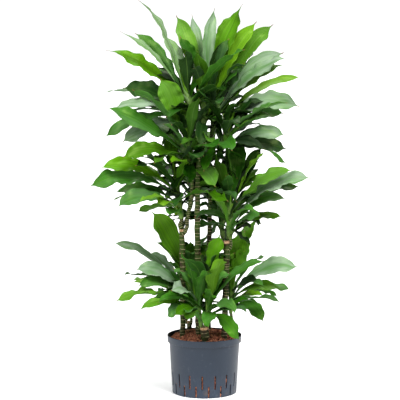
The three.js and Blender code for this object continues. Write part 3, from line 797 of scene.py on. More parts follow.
def pot_profile(pot):
    """(radius, height) up the pot's outside, over its rim and down its inside."""
    band = pot.height - pot.rim_band
    top = pot.rim_radius - TOP_RADIUS_STEP
    lip = 0.9 * MM
    rim = pot.rim_radius
    inner = rim - pot.wall
    return [
        (POLE, 1.2 * MM),
        (0.8 * pot.foot_radius, 1.2 * MM),
        (0.83 * pot.foot_radius, 0.0),
        *arc((pot.foot_radius - 2 * MM, 2 * MM), 2 * MM, -90, -5),
        (pot.foot_radius + (top - pot.foot_radius) * 0.5, band * 0.5),
        (top - 0.1 * MM, band - 3.5 * MM),
        *arc((top + 1.2 * MM, band - 1.6 * MM), 1.2 * MM, 180, 100, 3),
        (rim - 2.4 * MM, band - 0.3 * MM),
        *arc((rim - 1.6 * MM, band + 0.9 * MM), 1.0 * MM, -80, 0, 3),
        (rim - 0.1 * MM, pot.height - 3.4 * MM),
        *arc((rim - lip, pot.height - lip), lip, 0, 90),
        *arc((inner + lip, pot.height - lip), lip, 90, 180),
        (inner - 0.8 * MM, band + 3 * MM),
        (top - pot.wall, band - 1.5 * MM),
        (pot.foot_radius - pot.wall, POT_FLOOR + 1.5 * MM),
        (pot.foot_radius - pot.wall - 1.5 * MM, POT_FLOOR),
        (POLE, POT_FLOOR),
    ]


def slot_cutter(pot, low, high, angle):
    """One upright slot with round ends, cut square through the wall."""
    cutter = add(bpy.ops.mesh.primitive_cube_add, "slot_cutter", size=1.0)
    edit_all()
    bpy.ops.transform.resize(value=(SLOT_DEPTH, SLOT_WIDTH, high - low), center_override=(0, 0, 0))
    bpy.ops.mesh.select_all(action="DESELECT")
    leave_edit()
    for edge in cutter.data.edges:
        first, second = (cutter.data.vertices[i].co for i in edge.vertices)
        edge.select = abs(first.x - second.x) > SLOT_DEPTH / 2
    bpy.ops.object.mode_set(mode="EDIT")
    bpy.ops.mesh.bevel(offset=SLOT_WIDTH * SLOT_ROUNDING, segments=4)
    leave_edit()
    middle = (low + high) / 2
    places = points_of(cutter) + [wall_radius(pot, middle), 0, middle]
    turn = np.array([[math.cos(angle), math.sin(angle)], [-math.sin(angle), math.cos(angle)]])
    places[:, :2] = places[:, :2] @ turn
    set_points(cutter, places)
    return cutter


class DRACAENA_OT_pot(Operator):
    """Turn the slotted pot and cut its drain slots"""

    bl_idname = "dracaena.pot"
    bl_label = "Slotted pot"

    def execute(self, context):
        pot = context.scene.dracaena_pot
        shell = revolve("slotted_pot", pot_profile(pot), POT_SEGMENTS)
        cutter = join([slot_cutter(pot, *slot) for slot in slots_of(pot)], "slot_cutters")
        apply_modifier(shell, "BOOLEAN", operation="DIFFERENCE", object=cutter, solver="EXACT")
        bpy.data.objects.remove(cutter)
        smooth_shade(shell, 30)
        hand_over(shell, plastic_material(pot.plastic), "pot_plastic", "grow_pot")
        return {"FINISHED"}


# ---------------------------------------------------------------- granules

BED_SURFACE = [(0.0, 199.0), (39.0, 197.0), (78.0, 191.0), (112.0, 178.0), (118.0, 176.0)]  # mm
BED_MARGIN = 3.5 * MM  # the bed's core lies this far below the granules
BED_GAP = 0.3 * MM  # between the core and the pot's floor
BED_RADII = (100, 80, 60, 40, 20)  # mm, where the core's surface has its rings
BED_SEGMENTS = 96
CANE_CIRCLE = 60 * MM  # about how far the canes stand from the pot's axis
BED_LIFTS = [0.0, 0.0, 0.35, 0.8]  # how high a granule lies on the others, in mean radii
SLOT_GRANULES = 9
PEBBLE_KINDS = 6
DENTS = 5
GRANULE_SEED = 11


def bed_height(radius):
    radii, heights = zip(*BED_SURFACE)
    return float(smooth_through(radii, heights, [radius / MM])[0]) * MM


def pebble_kinds(size, draw):
    """A few knobbly granules, each squeezed and dented in its own way."""
    kinds = []
    add_ball = bpy.ops.mesh.primitive_ico_sphere_add
    while len(kinds) < PEBBLE_KINDS:
        pebble = add(add_ball, "granule_kind", subdivisions=2, radius=1.0)
        places = points_of(pebble)
        faces = [tuple(polygon.vertices) for polygon in pebble.data.polygons]
        bpy.data.objects.remove(pebble)
        for _ in range(DENTS):
            direction = unit(np.array([draw.gauss(0, 1) for _ in range(3)]))
            depth = draw.uniform(0.1, 0.34)
            places -= np.outer(smoothstep(places @ direction, 0.35, 1.0) * depth, direction)
        places *= [draw.uniform(0.85, 1.2), draw.uniform(0.8, 1.1), draw.uniform(0.7, 0.95)]
        kinds.append(places * size)
    return kinds, faces


def turned(places, draw):
    """The places turned at random about all three axes."""
    for first, second in ((0, 1), (1, 2), (0, 2)):
        angle = draw.uniform(0, 2 * math.pi)
        turn = [[math.cos(angle), -math.sin(angle)], [math.sin(angle), math.cos(angle)]]
        places = places.copy()
        places[:, [first, second]] = places[:, [first, second]] @ np.array(turn)
    return places


def cane_feet(margin):
    """The middle of each cane where it leaves the granules, and how far they stay from it."""
    feet = []
    for cane in CANES:
        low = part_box(f"cane_{cane}")[0]
        place = np.array([*low[:2], bed_height(CANE_CIRCLE)])
        points = Shell(f"cane_{cane}").section(place, UP, 1.0)
        feet.append((points.mean(axis=0)[:2], np.ptp(points, axis=0).max() / 2 + margin))
    return feet


def bed_spots(settings, pot, feet, draw):
    """Places and sizes of the granules on the bed, with room left for the canes' feet."""
    spots = []
    outer = pot.rim_radius - TOP_RADIUS_STEP - pot.wall - 0.6 * settings.size
    for index in range(settings.count):
        radius = outer * math.sqrt((index + 0.5) / settings.count) + draw.uniform(-1.2, 1.2) * MM
        angle = index * GOLDEN_ANGLE + draw.uniform(-0.02, 0.02)
        place = np.array([radius * math.cos(angle), radius * math.sin(angle)])
        if any(np.linalg.norm(place - centre) < size for centre, size in feet):
            continue
        height = bed_height(radius) + (draw.choice(BED_LIFTS) - 0.4) * settings.size
        spots.append(((*place, height), draw.uniform(0.7, 1.2)))
    return spots


def slot_spots(settings, pot, draw):
    """Places and sizes of the granules that show behind the pot's slots."""
    spots = []
    for low, high, bearing in slots_of(pot):
        foot = max(low, POT_FLOOR)
        for step in range(SLOT_GRANULES):
            height = foot + (step + 0.5) * (high - foot) / SLOT_GRANULES
            radius = wall_radius(pot, height) - pot.wall - draw.uniform(0.25, 0.9) * settings.size
            angle = bearing + draw.uniform(-1.6, 1.6) * MM / radius
            place = (radius * math.cos(angle), radius * math.sin(angle), height)
            spots.append((place, draw.uniform(0.65, 0.95)))
    return spots


def mesh_object(name, places, faces):
    mesh = bpy.data.meshes.new(name)
    mesh.from_pydata(places.tolist(), [], faces)
    thing = bpy.data.objects.new(name, mesh)
    bpy.context.collection.objects.link(thing)
    return thing


def loose_granules(settings, pot, draw):
    """All the granules as one mesh, each with its own shade of clay."""
    kinds, faces = pebble_kinds(settings.size, draw)
    spots = bed_spots(settings, pot, cane_feet(0.2 * settings.size), draw)
    spots += slot_spots(settings, pot, draw)
    places, rows, shades = [], [], []
    for place, size in spots:
        grown = turned(draw.choice(kinds), draw) * size + place
        start = len(places) * len(grown)
        rows += [tuple(start + corner for corner in face) for face in faces]
        shades += [draw.betavariate(2.0, 1.6)] * len(grown)
        places.append(grown)
    pebbles = mesh_object("clay_pebbles", np.concatenate(places), rows)
    paint(pebbles, "shade", "FLOAT", shades)
    smooth_shade(pebbles)
    return pebbles


def painted_shade_core(settings, pot):
    """The bed under the loose granules, which closes the gaps between them, in the darkest clay: painted
    shade between the granules.
    """
    foot = POT_FLOOR + BED_GAP
    wall = pot.foot_radius - pot.wall - 2 * settings.size
    top = pot.rim_radius - TOP_RADIUS_STEP - pot.wall - 0.5 * MM
    rim = bed_height(top) - BED_MARGIN
    profile = [(POLE, foot), (wall, foot), (wall + 4 * MM, 90 * MM), (top, rim - 6 * MM), (top, rim)]
    profile += [(radius * MM, bed_height(radius * MM) - BED_MARGIN) for radius in BED_RADII]
    profile.append((POLE, bed_height(0.0) - BED_MARGIN))
    core = revolve("shaded_clay_bed", profile, BED_SEGMENTS)
    # Painted shade: the bed takes the darkest clay colour.
    paint(core, "shade", "FLOAT", [0.0] * len(core.data.vertices))
    smooth_shade(core)
    return core


class DRACAENA_OT_granules(Operator):
    """Fill the pot with clay granules round the feet of the canes"""

    bl_idname = "dracaena.granules"
    bl_label = "Clay granules"

    def execute(self, context):
        settings = context.scene.dracaena_granules
        pot = context.scene.dracaena_pot
        clay = clay_material(settings.light, settings.dark)
        pebbles = loose_granules(settings, pot, random.Random(GRANULE_SEED))
        hand_over(pebbles, clay, "clay", "clay_granules")
        hand_over(painted_shade_core(settings, pot), clay, "clay")
        return {"FINISHED"}


# ---------------------------------------------------------------- canes and shoots

CANE_SEED = 100
CANE_SIDES = 28
CANE_RADIUS = 14 * MM
CUT_FACE = 0.2 * MM  # points of a cane this near its highest one belong to its cut top
AXIS_DEPTHS = (6 * MM, 14 * MM)  # the two sections below the cut that give the axis there
SHOOT_SEED = 300
SHOOT_FINE_SIDES = 20
SHOOT_START = 20 * MM  # above the crown point: the shoot's sections are read from here down
SHOOT_TOP = 26 * MM  # above it too, and hidden among the leaf bases
SHOOT_TINT = (1.25, 1.7, 1.2)  # how much greener a shoot is than the bark of a cane
STEM_STEP = 8 * MM
RING_HALF = 0.9 * MM
CANE_RING_RISE = 0.55 * MM
SHOOT_RING_RISE = 0.3 * MM
CALLUS = 11 * MM  # how far the healed, corky edge reaches down from the cut top of a cane
# (depth below the top, share of the radius, how much it is sawn wood) of the rows at a stem's end.
CUT_END = [
    (CALLUS, 1.0, 0.0), (0.75 * CALLUS, 1.04, 0.45), (0.3 * CALLUS, 1.05, 0.6), (1.2 * MM, 1.02, 0.5),
    (0.3 * MM, 0.97, 0.8), (0.0, 0.9, 0.9), (0.2 * MM, 0.84, 1.0), (0.5 * MM, 0.5, 1.0),
    (0.6 * MM, 0.0, 1.0),
]
GROWING_END = [(0.0, 1.0, 0.0), (-0.3 * MM, 0.6, 0.0), (-0.3 * MM, 0.0, 0.0)]
WOBBLES = [(2, 0.025, 21), (3, 0.018, -47)]  # lobes round a stem, their height, their turn per metre
AXIS_POINTS = 200
COLLAR = 0.4  # how much a shoot swells where it leaves its cane
COLLAR_FOOT = 6 * MM
COLLAR_TOP = 22 * MM


def stem_rows(length, spacing, rise, draw):
    """(distance, extra radius, ring) of each row of points along a stem with leaf scars."""
    rows = [(0.0, 0.0, 0.0)]
    place = spacing * draw.uniform(0.5, 1.0)
    while place < length - 2 * RING_HALF:
        rows += [(place - RING_HALF, 0.0, 0.15), (place, rise * draw.uniform(0.7, 1.2), 1.0)]
        rows += [(place + RING_HALF * 0.8, 0.1 * rise, 0.25)]
        gap = spacing * draw.uniform(0.62, 1.4)
        rows.append((place + gap / 2, -0.1 * rise, 0.0))
        place += gap
    return [row for row in rows if row[0] < length - RING_HALF / 2]


def stem_axes(line, distances):
    """Centre of each row of a stem, with two directions across the stem there."""
    along = lengths_along(line)
    top = along[-1]
    centres = smooth_through(along, line, np.clip(distances, 0, top))
    centres += np.outer(np.maximum(distances - top, 0.0), unit(line[-1] - line[-2]))
    sides, ups = untwisted_frames(smooth_through(along, line, np.linspace(0, top, AXIS_POINTS)))
    picks = (distances / top * (AXIS_POINTS - 1)).round().astype(int)
    picks = np.clip(picks, 0, AXIS_POINTS - 1)
    return centres, sides[picks], ups[picks]


def measure_uv(sheet, distances):
    """Names the sheet's UV map and writes the distance along the stem into it, in metres."""
    layer = sheet.data.uv_layers[0]
    places = np.empty(len(sheet.data.loops) * 2)
    layer.data.foreach_get("uv", places)
    places = places.reshape(-1, 2)
    rows = (places[:, 1] * (len(distances) - 1)).round().astype(int)
    places[:, 1] = distances[rows]
    layer.data.foreach_set("uv", places.ravel())
    layer.name = "UVMap"


def tube(name, line, radii, rows, end, sides, greens, draw):
    """Rolls a sheet into a stem along a line, through its rows and then those of its end."""
    along = lengths_along(line)
    distances, extra, ring = np.array(rows).T
    depths, shares, sawn = np.array(end).T
    size = np.interp(distances, along, radii) + extra
    distances = np.concatenate([[0.0], distances, along[-1] - depths])
    size = np.concatenate([[0.0], size, shares * radii[-1]])
    ring = np.concatenate([[0.0], ring, np.zeros(len(end))])
    cut = np.concatenate([np.zeros(len(rows) + 1), sawn])
    greens = np.interp(distances, along, greens)

    sheet = grid(name, sides, len(distances) - 1)
    flat = (points_of(sheet) + 1) / 2
    angles = (flat[:, 0] * sides).round() * 2 * math.pi / sides
    lines = (flat[:, 1] * (len(distances) - 1)).round().astype(int)
    wobble = np.ones(len(lines))
    for lobes, height, turn in WOBBLES:
        phase = draw.uniform(0, 2 * math.pi)
        wobble += height * np.sin(lobes * angles + phase + distances[lines] * turn)
    centres, across, up = stem_axes(line, distances)
    around = np.cos(angles)[:, None] * across[lines] + np.sin(angles)[:, None] * up[lines]
    set_points(sheet, centres[lines] + (size[lines] * wobble)[:, None] * around)

    colours = np.stack([ring, cut, greens, np.ones(len(distances))], axis=1)
    paint(sheet, "bark", "FLOAT_COLOR", colours[lines])
    measure_uv(sheet, distances)
    close_up(sheet, 0.01 * MM)
    smooth_shade(sheet, 50)
    return sheet


def cane_line(cane):
    """Centre line of a cane from its foot to its cut top, with its radii."""
    shell = Shell(f"cane_{cane}")
    top = shell.places[:, 2].max()
    high = shell.places[shell.places[:, 2] > top - CUT_FACE].mean(axis=0)
    near, far = (
        shell.section(high - UP * depth, UP, 30 * MM).mean(axis=0) for depth in AXIS_DEPTHS
    )
    direction = unit(far - near)
    start = near - direction * AXIS_DEPTHS[0]
    centres, radii = follow_stem(shell, start, direction, STEM_STEP, CANE_RADIUS)
    line = np.concatenate([start[None], centres])[::-1]
    sizes = np.concatenate([radii[:1], radii])[::-1]
    return line, sizes


class DRACAENA_OT_canes(Operator):
    """Raise the bare canes with their leaf scars and sawn tops"""

    bl_idname = "dracaena.canes"
    bl_label = "Canes"

    def execute(self, context):
        stems = context.scene.dracaena_stems
        bark = bark_material("cane_bark", stems.bark, stems.scar, 0.8)
        for number, cane in enumerate(CANES):
            draw = random.Random(CANE_SEED + number)
            line, radii = cane_line(cane)
            rows = stem_rows(lengths_along(line)[-1] - CALLUS, stems.cane_rings, CANE_RING_RISE, draw)
            greens = smoothstep(line[:, 2], 0.25, 0.7) * 0.7
            stem = tube(f"{cane}_cane", line, radii, rows, CUT_END, CANE_SIDES, greens, draw)
            hand_over(stem, bark, "cane_bark", f"cane_{cane}")
        return {"FINISHED"}


class Head:
    """The axis and size of a rosette, read from the rolled young leaf on its top."""

    def __init__(self, name):
        self.name = name
        shell = Shell(f"{name}_upper_leaves")
        tip, rings = next(shell.pointed_ends(SHOOT_SIDES))
        shoulder = rings[0].mean(axis=0)
        self.axis = unit(tip - shoulder)
        size = np.linalg.norm(rings[0] - shoulder, axis=1).mean()
        self.stem = size / SPEAR_SHOULDER_RADIUS - SHEATH_WALL
        mouth = tip - self.axis * SPEAR_LENGTH
        self.crown = mouth - self.axis * SHEATH_TOP

    def height_of(self, place):
        return float((place - self.crown) @ self.axis)

    def out_towards(self, place):
        offset = place - self.crown
        return unit(offset - self.axis * (offset @ self.axis))

    def at(self, height):
        return self.crown + self.axis * height


def nearest_cane_point(lines, place):
    """The point level with a place on the cane that passes nearest to it."""
    line = min(lines, key=lambda points: np.linalg.norm(points - place, axis=1).min())
    return line[np.abs(line[:, 2] - place[2]).argmin()]


def shoot_line(head, canes):
    """Centre line of a shoot, from the middle of its cane up into its rosette."""
    start = head.at(SHOOT_START)
    shell = Shell(f"{head.name}_shoot")
    centres = follow_stem(shell, start, -head.axis, STEM_STEP, head.stem)[0][:-1]
    foot = nearest_cane_point(canes, centres[-1] - UP * 1.6 * head.stem)
    return np.concatenate([head.at(SHOOT_TOP)[None], start[None], centres, foot[None]])[::-1]


class DRACAENA_OT_shoots(Operator):
    """Grow the green side shoots out of the canes, up into their rosettes"""

    bl_idname = "dracaena.shoots"
    bl_label = "Side shoots"

    def execute(self, context):
        stems = context.scene.dracaena_stems
        green = tuple(part * share for part, share in zip(stems.bark, SHOOT_TINT))
        bark = bark_material("shoot_bark", green, stems.scar, 0.45)
        canes = [cane_line(cane)[0] for cane in CANES]
        for number, name in enumerate(ROSETTES):
            draw = random.Random(SHOOT_SEED + number)
            head = Head(name)
            line = shoot_line(head, canes)
            along = lengths_along(line)
            radii = head.stem * (1 + COLLAR * smoothstep(along, COLLAR_TOP, COLLAR_FOOT))
            rows = stem_rows(along[-1] - 1 * MM, stems.shoot_rings, SHOOT_RING_RISE, draw)
            greens = smoothstep(along / along[-1], 0.0, 0.6)
            stem = tube(f"{name}_stem", line, radii, rows, GROWING_END, SHOOT_FINE_SIDES, greens, draw)
            hand_over(stem, bark, "shoot_bark", f"{name}_shoot")
        return {"FINISHED"}


# ---------------------------------------------------------------- leaves

LEAF_SEED = 500
BLADE_COLUMNS = 12
BLADE_ROWS = 52
END_ROWS = 0.45  # how much closer the rows lie at both ends of a blade
EDGE_NOTCH = 0.055  # how much the width of each half of a blade comes and goes
# Waves of the margins: the range of their lengths in mm, and their share of the waves' height.
MARGIN_WAVES = [((60, 100), 0.75), ((28, 46), 0.45)]
SWELL_LENGTH = 120 * MM
SWELL = 0.35
RIB_HEIGHT = 0.55 * MM
RIB_WIDTH = 0.05  # as a share of half the blade's width
MOST_CURL = 7 * MM
MOST_SWAY = 4 * MM
MOST_HOOK = 4 * MM
LEAST_HALF = 0.25 * MM  # half-width of a blade's very tip
PULL = 0.36  # how far a bent leaf's ends pull it along their directions, as a share of its length
INNER_LENGTH = (110, 200)  # mm
INNER_WIDTH = (34, 54)  # mm
INNER_TOP = 12 * MM  # above the crown point: the base of the highest inner leaf
INNER_DEPTH = 85 * MM  # from there down to the base of the lowest
TOP_PITCH = 68  # degrees, of the highest inner leaf
# (height above the crown point in mm, share of the sheath's radius) up the rolled young leaf.
SPEAR_OUTLINE = [(4, 0.75), (20, 0.9), (34, 0.95), (60, 0.62), (85, 0.3), (104, 0.05)]
SPEAR_WALL = 1.2 * MM
SPEAR_OPENING = np.array([0.3, -1.0, 0.0])  # which way its seam looks
SPEAR_ARC = 3.5
SPEAR_SPIRAL = 0.12


def blade_sheet(settings):
    """The leaf that every leaf is copied from: a flat closed slab with both materials."""
    sheet = grid("blade", BLADE_COLUMNS, BLADE_ROWS)
    sheet.data.materials.append(leaf_material("leaf_upper_face", settings, under=False))
    sheet.data.materials.append(leaf_material("leaf_under_face", settings, under=True))
    apply_modifier(
        sheet, "SOLIDIFY", thickness=2.0, offset=0.0, material_offset=1, material_offset_rim=1
    )
    sheet.data.uv_layers[0].name = "UVMap"
    sheet.data.attributes.new("tone", "FLOAT_COLOR", "POINT")
    smooth_shade(sheet)
    return sheet


def leaf_stations(rings):
    """Floor, face direction and half-width of each section of a leaf, from its tip inwards."""
    floors, faces, halves = [], [], []
    for ring in rings[: len(LEAF_SHARES)]:
        gaps = np.linalg.norm(ring[:, None] - ring[None], axis=2)
        left, right = np.unravel_index(gaps.argmax(), gaps.shape)
        middle = (ring[left] + ring[right]) / 2
        others = [ring[i] for i in range(LEAF_SIDES) if i not in (left, right)]
        floor, keel = sorted(others, key=lambda point: np.linalg.norm(point - middle))
        floors.append(floor)
        faces.append(unit(floor - keel))
        halves.append(gaps.max() / 2)
    return np.array(floors), np.array(faces), np.array(halves)


def leaf_from(head, tip, rings):
    """A leaf of the frame as numbers. Its height is where its midrib, carried on, meets the stem."""
    floors, faces, halves = leaf_stations(rings)
    shares = LEAF_SHARES[: len(floors)]
    lead = np.polyfit(shares[-3:], floors[-3:], 2)[2]
    return {
        "tip": tip,
        "floors": floors,
        "faces": faces,
        "shares": shares,
        "half": float(np.interp(FULL_WIDTH_SHARE, shares[::-1], halves[::-1])),
        "height": head.height_of(lead),
        "out": head.out_towards(floors[-1]),
    }


def leaves_of(head):
    """The leaves of both tiers of a head, their bases stepped down its stem."""
    leaves = []
    for tier in ("upper", "lower"):
        for tip, rings in Shell(f"{head.name}_{tier}_leaves").pointed_ends(LEAF_SIDES):
            if len(rings) >= LEAF_RINGS:
                leaves.append({**leaf_from(head, tip, rings), "tier": tier})
    leaves.sort(key=lambda leaf: -leaf["height"])
    ceiling = leaves[0]["height"] + BASE_SPACING
    for leaf in leaves:
        leaf["height"] = ceiling = min(leaf["height"], ceiling - BASE_SPACING)
    return leaves


def tone_of(tone, age, draw):
    """The listed tone of a leaf, or where it is hidden, one that darkens down the rosette."""
    if tone == HIDDEN:
        tone = draw.choice(YOUNG_TONES if age < YOUNG_SHARE else AGED_TONES)
    return varied(tone, draw)


def varied(tone, draw):
    """A tone with each of its parts a little off."""
    parts = [part + draw.uniform(-TONE_SPREAD, TONE_SPREAD) for part in TONES[tone]]
    return [max(0.0, min(1.0, part)) for part in parts]


def blade_midrib(path, shares):
    """Places along a blade's midrib, with the directions across the blade and out of its face."""
    floors = smooth_through(path["knots"], path["floors"], shares)
    tangents = unit(np.gradient(floors, axis=0))
    faces = smooth_through(path["knots"], path["faces"], shares)
    acrosses = unit(np.cross(faces, tangents))
    faces = np.cross(tangents, acrosses)
    curl = path["curl"] * smoothstep(shares, 0.7, 0.95) * np.sin(9 * shares)
    sway = path["sway"] * smoothstep(shares, 0.15, 0.4) * np.sin(7.5 * shares)
    hook = path["hook"] * smoothstep(shares, 0.9, 1.0) * np.sin(34 * shares)
    floors = floors + faces * (curl + hook)[:, None] + acrosses * (sway + hook)[:, None]
    twist = path["twist"] * smoothstep(shares, 0.72, 1.0)
    turn, lean = np.cos(twist)[:, None], np.sin(twist)[:, None]
    return floors, acrosses * turn + faces * lean, faces * turn - acrosses * lean


def blade_spread(path, u, shares, lines, waves, draw):
    """Radius of the arc on which each point lies, with the uneven edges of the blade's halves."""
    spread = (path["half_at"](shares) / path["arc_at"](shares))[lines] * (1 + path["spiral"] * u)
    blade_only = (smoothstep(shares, 0.2, 0.4) * (1 - smoothstep(shares, 0.9, 0.96)))[lines]
    for side in (-1, 1):
        steps = shares[lines] * draw.uniform(26, 40) + draw.uniform(0, 2 * math.pi)
        spread *= 1 + EDGE_NOTCH * waves * blade_only * (u * side > 0) * np.sin(steps)
    return spread


def wave_rise(u, along, height, draw):
    """How far each point of a blade is lifted by the waves of its margins and a long swell."""
    rise = np.zeros(len(u))
    for side in (-1, 1):
        edge = np.clip(u * side, 0, 1) ** 2.2
        for wavelength, share in [(draw.uniform(*lengths), share) for lengths, share in MARGIN_WAVES]:
            phase = draw.uniform(0, 2 * math.pi)
            rise += height * edge * share * np.sin(2 * math.pi * along / (wavelength * MM) + phase)
    phase = draw.uniform(0, 2 * math.pi)
    return rise + SWELL * height * np.sin(2 * math.pi * along / SWELL_LENGTH + phase)


def lay_blade(sheet, path, leaf_tone, settings, draw, waves):
    """Bends a copy of the blade along a path, and gives it its tone."""
    blade = copy_of(sheet)
    flat = points_of(blade)
    u, layer = flat[:, 0], flat[:, 2]
    rows, lines = np.unique(((flat[:, 1] + 1) / 2).round(5), return_inverse=True)
    rows = rows - END_ROWS * np.sin(2 * math.pi * rows) / (2 * math.pi)
    first, last = path["knots"][0], path["knots"][-1]
    shares = first + (last - first) * rows
    floors, acrosses, faces = blade_midrib(path, shares)

    angle = u * path["arc_at"](shares)[lines]
    spread = blade_spread(path, u, shares, lines, waves, draw)
    open_blade = (smoothstep(shares, 0.16, 0.36) * (1 - smoothstep(shares, 0.86, 0.99)))[lines]
    breadth = np.clip(path["half_at"](shares)[lines] / (25 * MM), 0.3, 1.3)
    along = shares[lines] * lengths_along(floors)[-1]
    rise = wave_rise(u, along, settings.wave * waves * open_blade * breadth, draw)
    thick = settings.thickness / 2 * (1 - 0.45 * np.abs(u) ** 3) * np.sign(layer)
    thick -= RIB_HEIGHT * np.exp(-((u / RIB_WIDTH) ** 2)) * (layer < 0) * (1 - shares[lines])
    right = (spread - thick) * np.sin(angle)
    rise += spread * (1 - np.cos(angle)) + thick * np.cos(angle)
    set_points(blade, floors[lines] + acrosses[lines] * right[:, None] + faces[lines] * rise[:, None])
    paint(blade, "tone", "FLOAT_COLOR", np.tile([*leaf_tone, draw.random()], (len(flat), 1)))
    return blade


def leaf_path(head, leaf, draw):
    """The line that a leaf follows: down inside its sheath, along its blade, out to its tip."""
    base = head.at(leaf["height"])
    out = leaf["out"]
    down = SHEATH_DEPTH / np.linalg.norm(leaf["tip"] - base)
    mouth, foot = head.stem + SHEATH_MOUTH, head.stem + SHEATH_FOOT
    sheath = [base - head.axis * SHEATH_DEPTH + out * foot, base + out * mouth]
    outline_shares, outline = zip((-down, 0), (0.0, 0), (NECK_SHARE, 0), *BLADE_OUTLINE)
    halves = np.array(outline) * leaf["half"]
    halves[:3] = [SHEATH_ARC * foot, 1.9 * mouth, max(1.15 * mouth, 0.28 * leaf["half"])]
    fold = draw.uniform(0.75, 1.5)
    arc_shares, arcs = zip((-down, SHEATH_ARC), *BLADE_ARC)
    arcs = [arc * (fold if share > 0.2 else 1.0) for share, arc in zip(arc_shares, arcs)]
    return {
        "knots": [-down, 0.0, *leaf["shares"][::-1], 1.0],
        "floors": [*sheath, *leaf["floors"][::-1], leaf["tip"]],
        "faces": [-out, -out, *leaf["faces"][::-1], leaf["faces"][0]],
        "twist": draw.choice([-1, 1]) * draw.uniform(0.2, 1.3),
        "curl": draw.uniform(-1, 1) * MOST_CURL,
        "sway": draw.uniform(-1, 1) * MOST_SWAY,
        "hook": draw.uniform(-1, 1) * MOST_HOOK,
        "spiral": 0.0,
        "arc_at": lambda at: np.interp(at, arc_shares, arcs),
        "half_at": lambda at: np.maximum(smooth_through(outline_shares, halves, at), LEAST_HALF),
    }


def bent_between(base, tip, out, arch):
    """Points from base to tip on a line that leaves upwards and comes down to its tip."""
    chord = tip - base
    length = np.linalg.norm(chord)
    leaving = base + unit(chord / length + arch * UP) * length * PULL
    ending = tip - unit(chord / length - arch * UP + 0.25 * out) * length * PULL
    shares = np.array(LEAF_SHARES[::-1])[:, None]
    rest = 1 - shares
    start = rest**3 * base + 3 * rest**2 * shares * leaving
    return start + 3 * rest * shares**2 * ending + shares**3 * tip


def inner_leaves(head, draw):
    """The short leaves inside a rosette, turned by the golden angle from each other."""
    _, count, least_pitch = ROSETTES[head.name]
    start = draw.uniform(0, 2 * math.pi)
    for index in range(count):
        bearing = start + index * GOLDEN_ANGLE
        share = (index + 0.5) / count
        pitch = math.radians(TOP_PITCH + (least_pitch - TOP_PITCH) * share + draw.uniform(-8, 8))
        length = draw.uniform(*INNER_LENGTH) * MM
        flat_out = np.array([math.cos(bearing), math.sin(bearing), 0.0])
        height = INNER_TOP - INNER_DEPTH * share
        base = head.at(height)
        tip = head.at(0.5 * height) + length * (math.cos(pitch) * flat_out + math.sin(pitch) * UP)
        floors = bent_between(base, tip, flat_out, draw.uniform(0.4, 1.1))
        tangents = unit(np.gradient(np.vstack([floors, tip]), axis=0))[:-1]
        across = unit(np.cross(tangents, UP))
        faces = np.cross(across, tangents)
        roll = draw.uniform(-0.6, 0.6)
        yield {
            "height": height,
            "out": head.out_towards(tip),
            "tip": tip,
            "floors": floors[::-1],
            "faces": (faces * math.cos(roll) + across * math.sin(roll))[::-1],
            "shares": LEAF_SHARES,
            "half": draw.uniform(*INNER_WIDTH) / 2 * MM,
        }


def spear_path(head):
    """The rolled young leaf that stands on the axis of its head."""
    heights, sizes = np.array(SPEAR_OUTLINE).T
    heights, sizes = heights * MM, sizes * (head.stem + SPEAR_WALL)
    out = head.out_towards(head.crown + SPEAR_OPENING)
    knots = (heights - heights[0]) / np.ptp(heights)
    return {
        "knots": list(knots),
        "floors": [head.at(height) + out * size for height, size in zip(heights, sizes)],
        "faces": [-out] * len(knots),
        "twist": 0.0,
        "curl": 0.0,
        "sway": 0.0,
        "hook": 0.0,
        "spiral": SPEAR_SPIRAL,
        "arc_at": lambda at: np.full(len(at), SPEAR_ARC),
        "half_at": lambda at: SPEAR_ARC * smooth_through(knots, sizes, at),
    }


def blades_of(head, sheet, settings, draw):
    """The blades of both tiers of a rosette: its leaves, short ones inside it and its spear."""
    tiers = {"upper": [], "lower": []}
    leaves = leaves_of(head)
    tones = ROSETTES[head.name][0].split()
    for order, (leaf, listed) in enumerate(zip(leaves, tones, strict=True)):
        tone = tone_of(listed, order / max(1, len(leaves) - 1), draw)
        path = leaf_path(head, leaf, draw)
        blade = lay_blade(sheet, path, tone, settings, draw, draw.uniform(0.5, 1.3))
        tiers[leaf["tier"]].append(blade)
    middle = leaves[len(leaves) // 2]["height"]
    inner_tones = LOW_INNER_TONES if head.name.startswith("low") else SHADED_INNER_TONES
    for leaf in inner_leaves(head, draw):
        path = leaf_path(head, leaf, draw)
        tone = varied(draw.choice(inner_tones), draw)
        blade = lay_blade(sheet, path, tone, settings, draw, draw.uniform(0.6, 1.4))
        tiers["upper" if leaf["height"] > middle else "lower"].append(blade)
    tiers["upper"].append(lay_blade(sheet, spear_path(head), TONES["lime"], settings, draw, 0.0))
    return tiers


class DRACAENA_OT_leaves(Operator):
    """Unfold the leaves of every rosette along their midribs"""

    bl_idname = "dracaena.leaves"
    bl_label = "Leaves"

    def execute(self, context):
        settings = context.scene.dracaena_leaves
        sheet = blade_sheet(settings)
        for number, name in enumerate(ROSETTES):
            tiers = blades_of(Head(name), sheet, settings, random.Random(LEAF_SEED + number))
            for tier, blades in tiers.items():
                age = "young" if tier == "upper" else "grown"
                rosette = join(blades, f"{name}_{age}_leaves")
                hand_over(rosette, None, "leaf", f"{name}_{tier}_leaves")
        bpy.data.objects.remove(sheet)
        return {"FINISHED"}


# ---------------------------------------------------------------- stage

FLOOR_RADIUS = 40.0
WORLD_LIGHT = 0.14
WORLD_SEEN = 1.1
CAMERA_RIGHT = -14.5 * MM
# name, bearing from +X and height of each soft light in degrees, its strength and its width
LIGHTS = [
    ("key", -58.0, 52.0, 4.2, 26.0),
    ("fill", -125.0, 38.0, 2.3, 40.0),
    ("overhead", 90.0, 72.0, 2.0, 45.0),
]


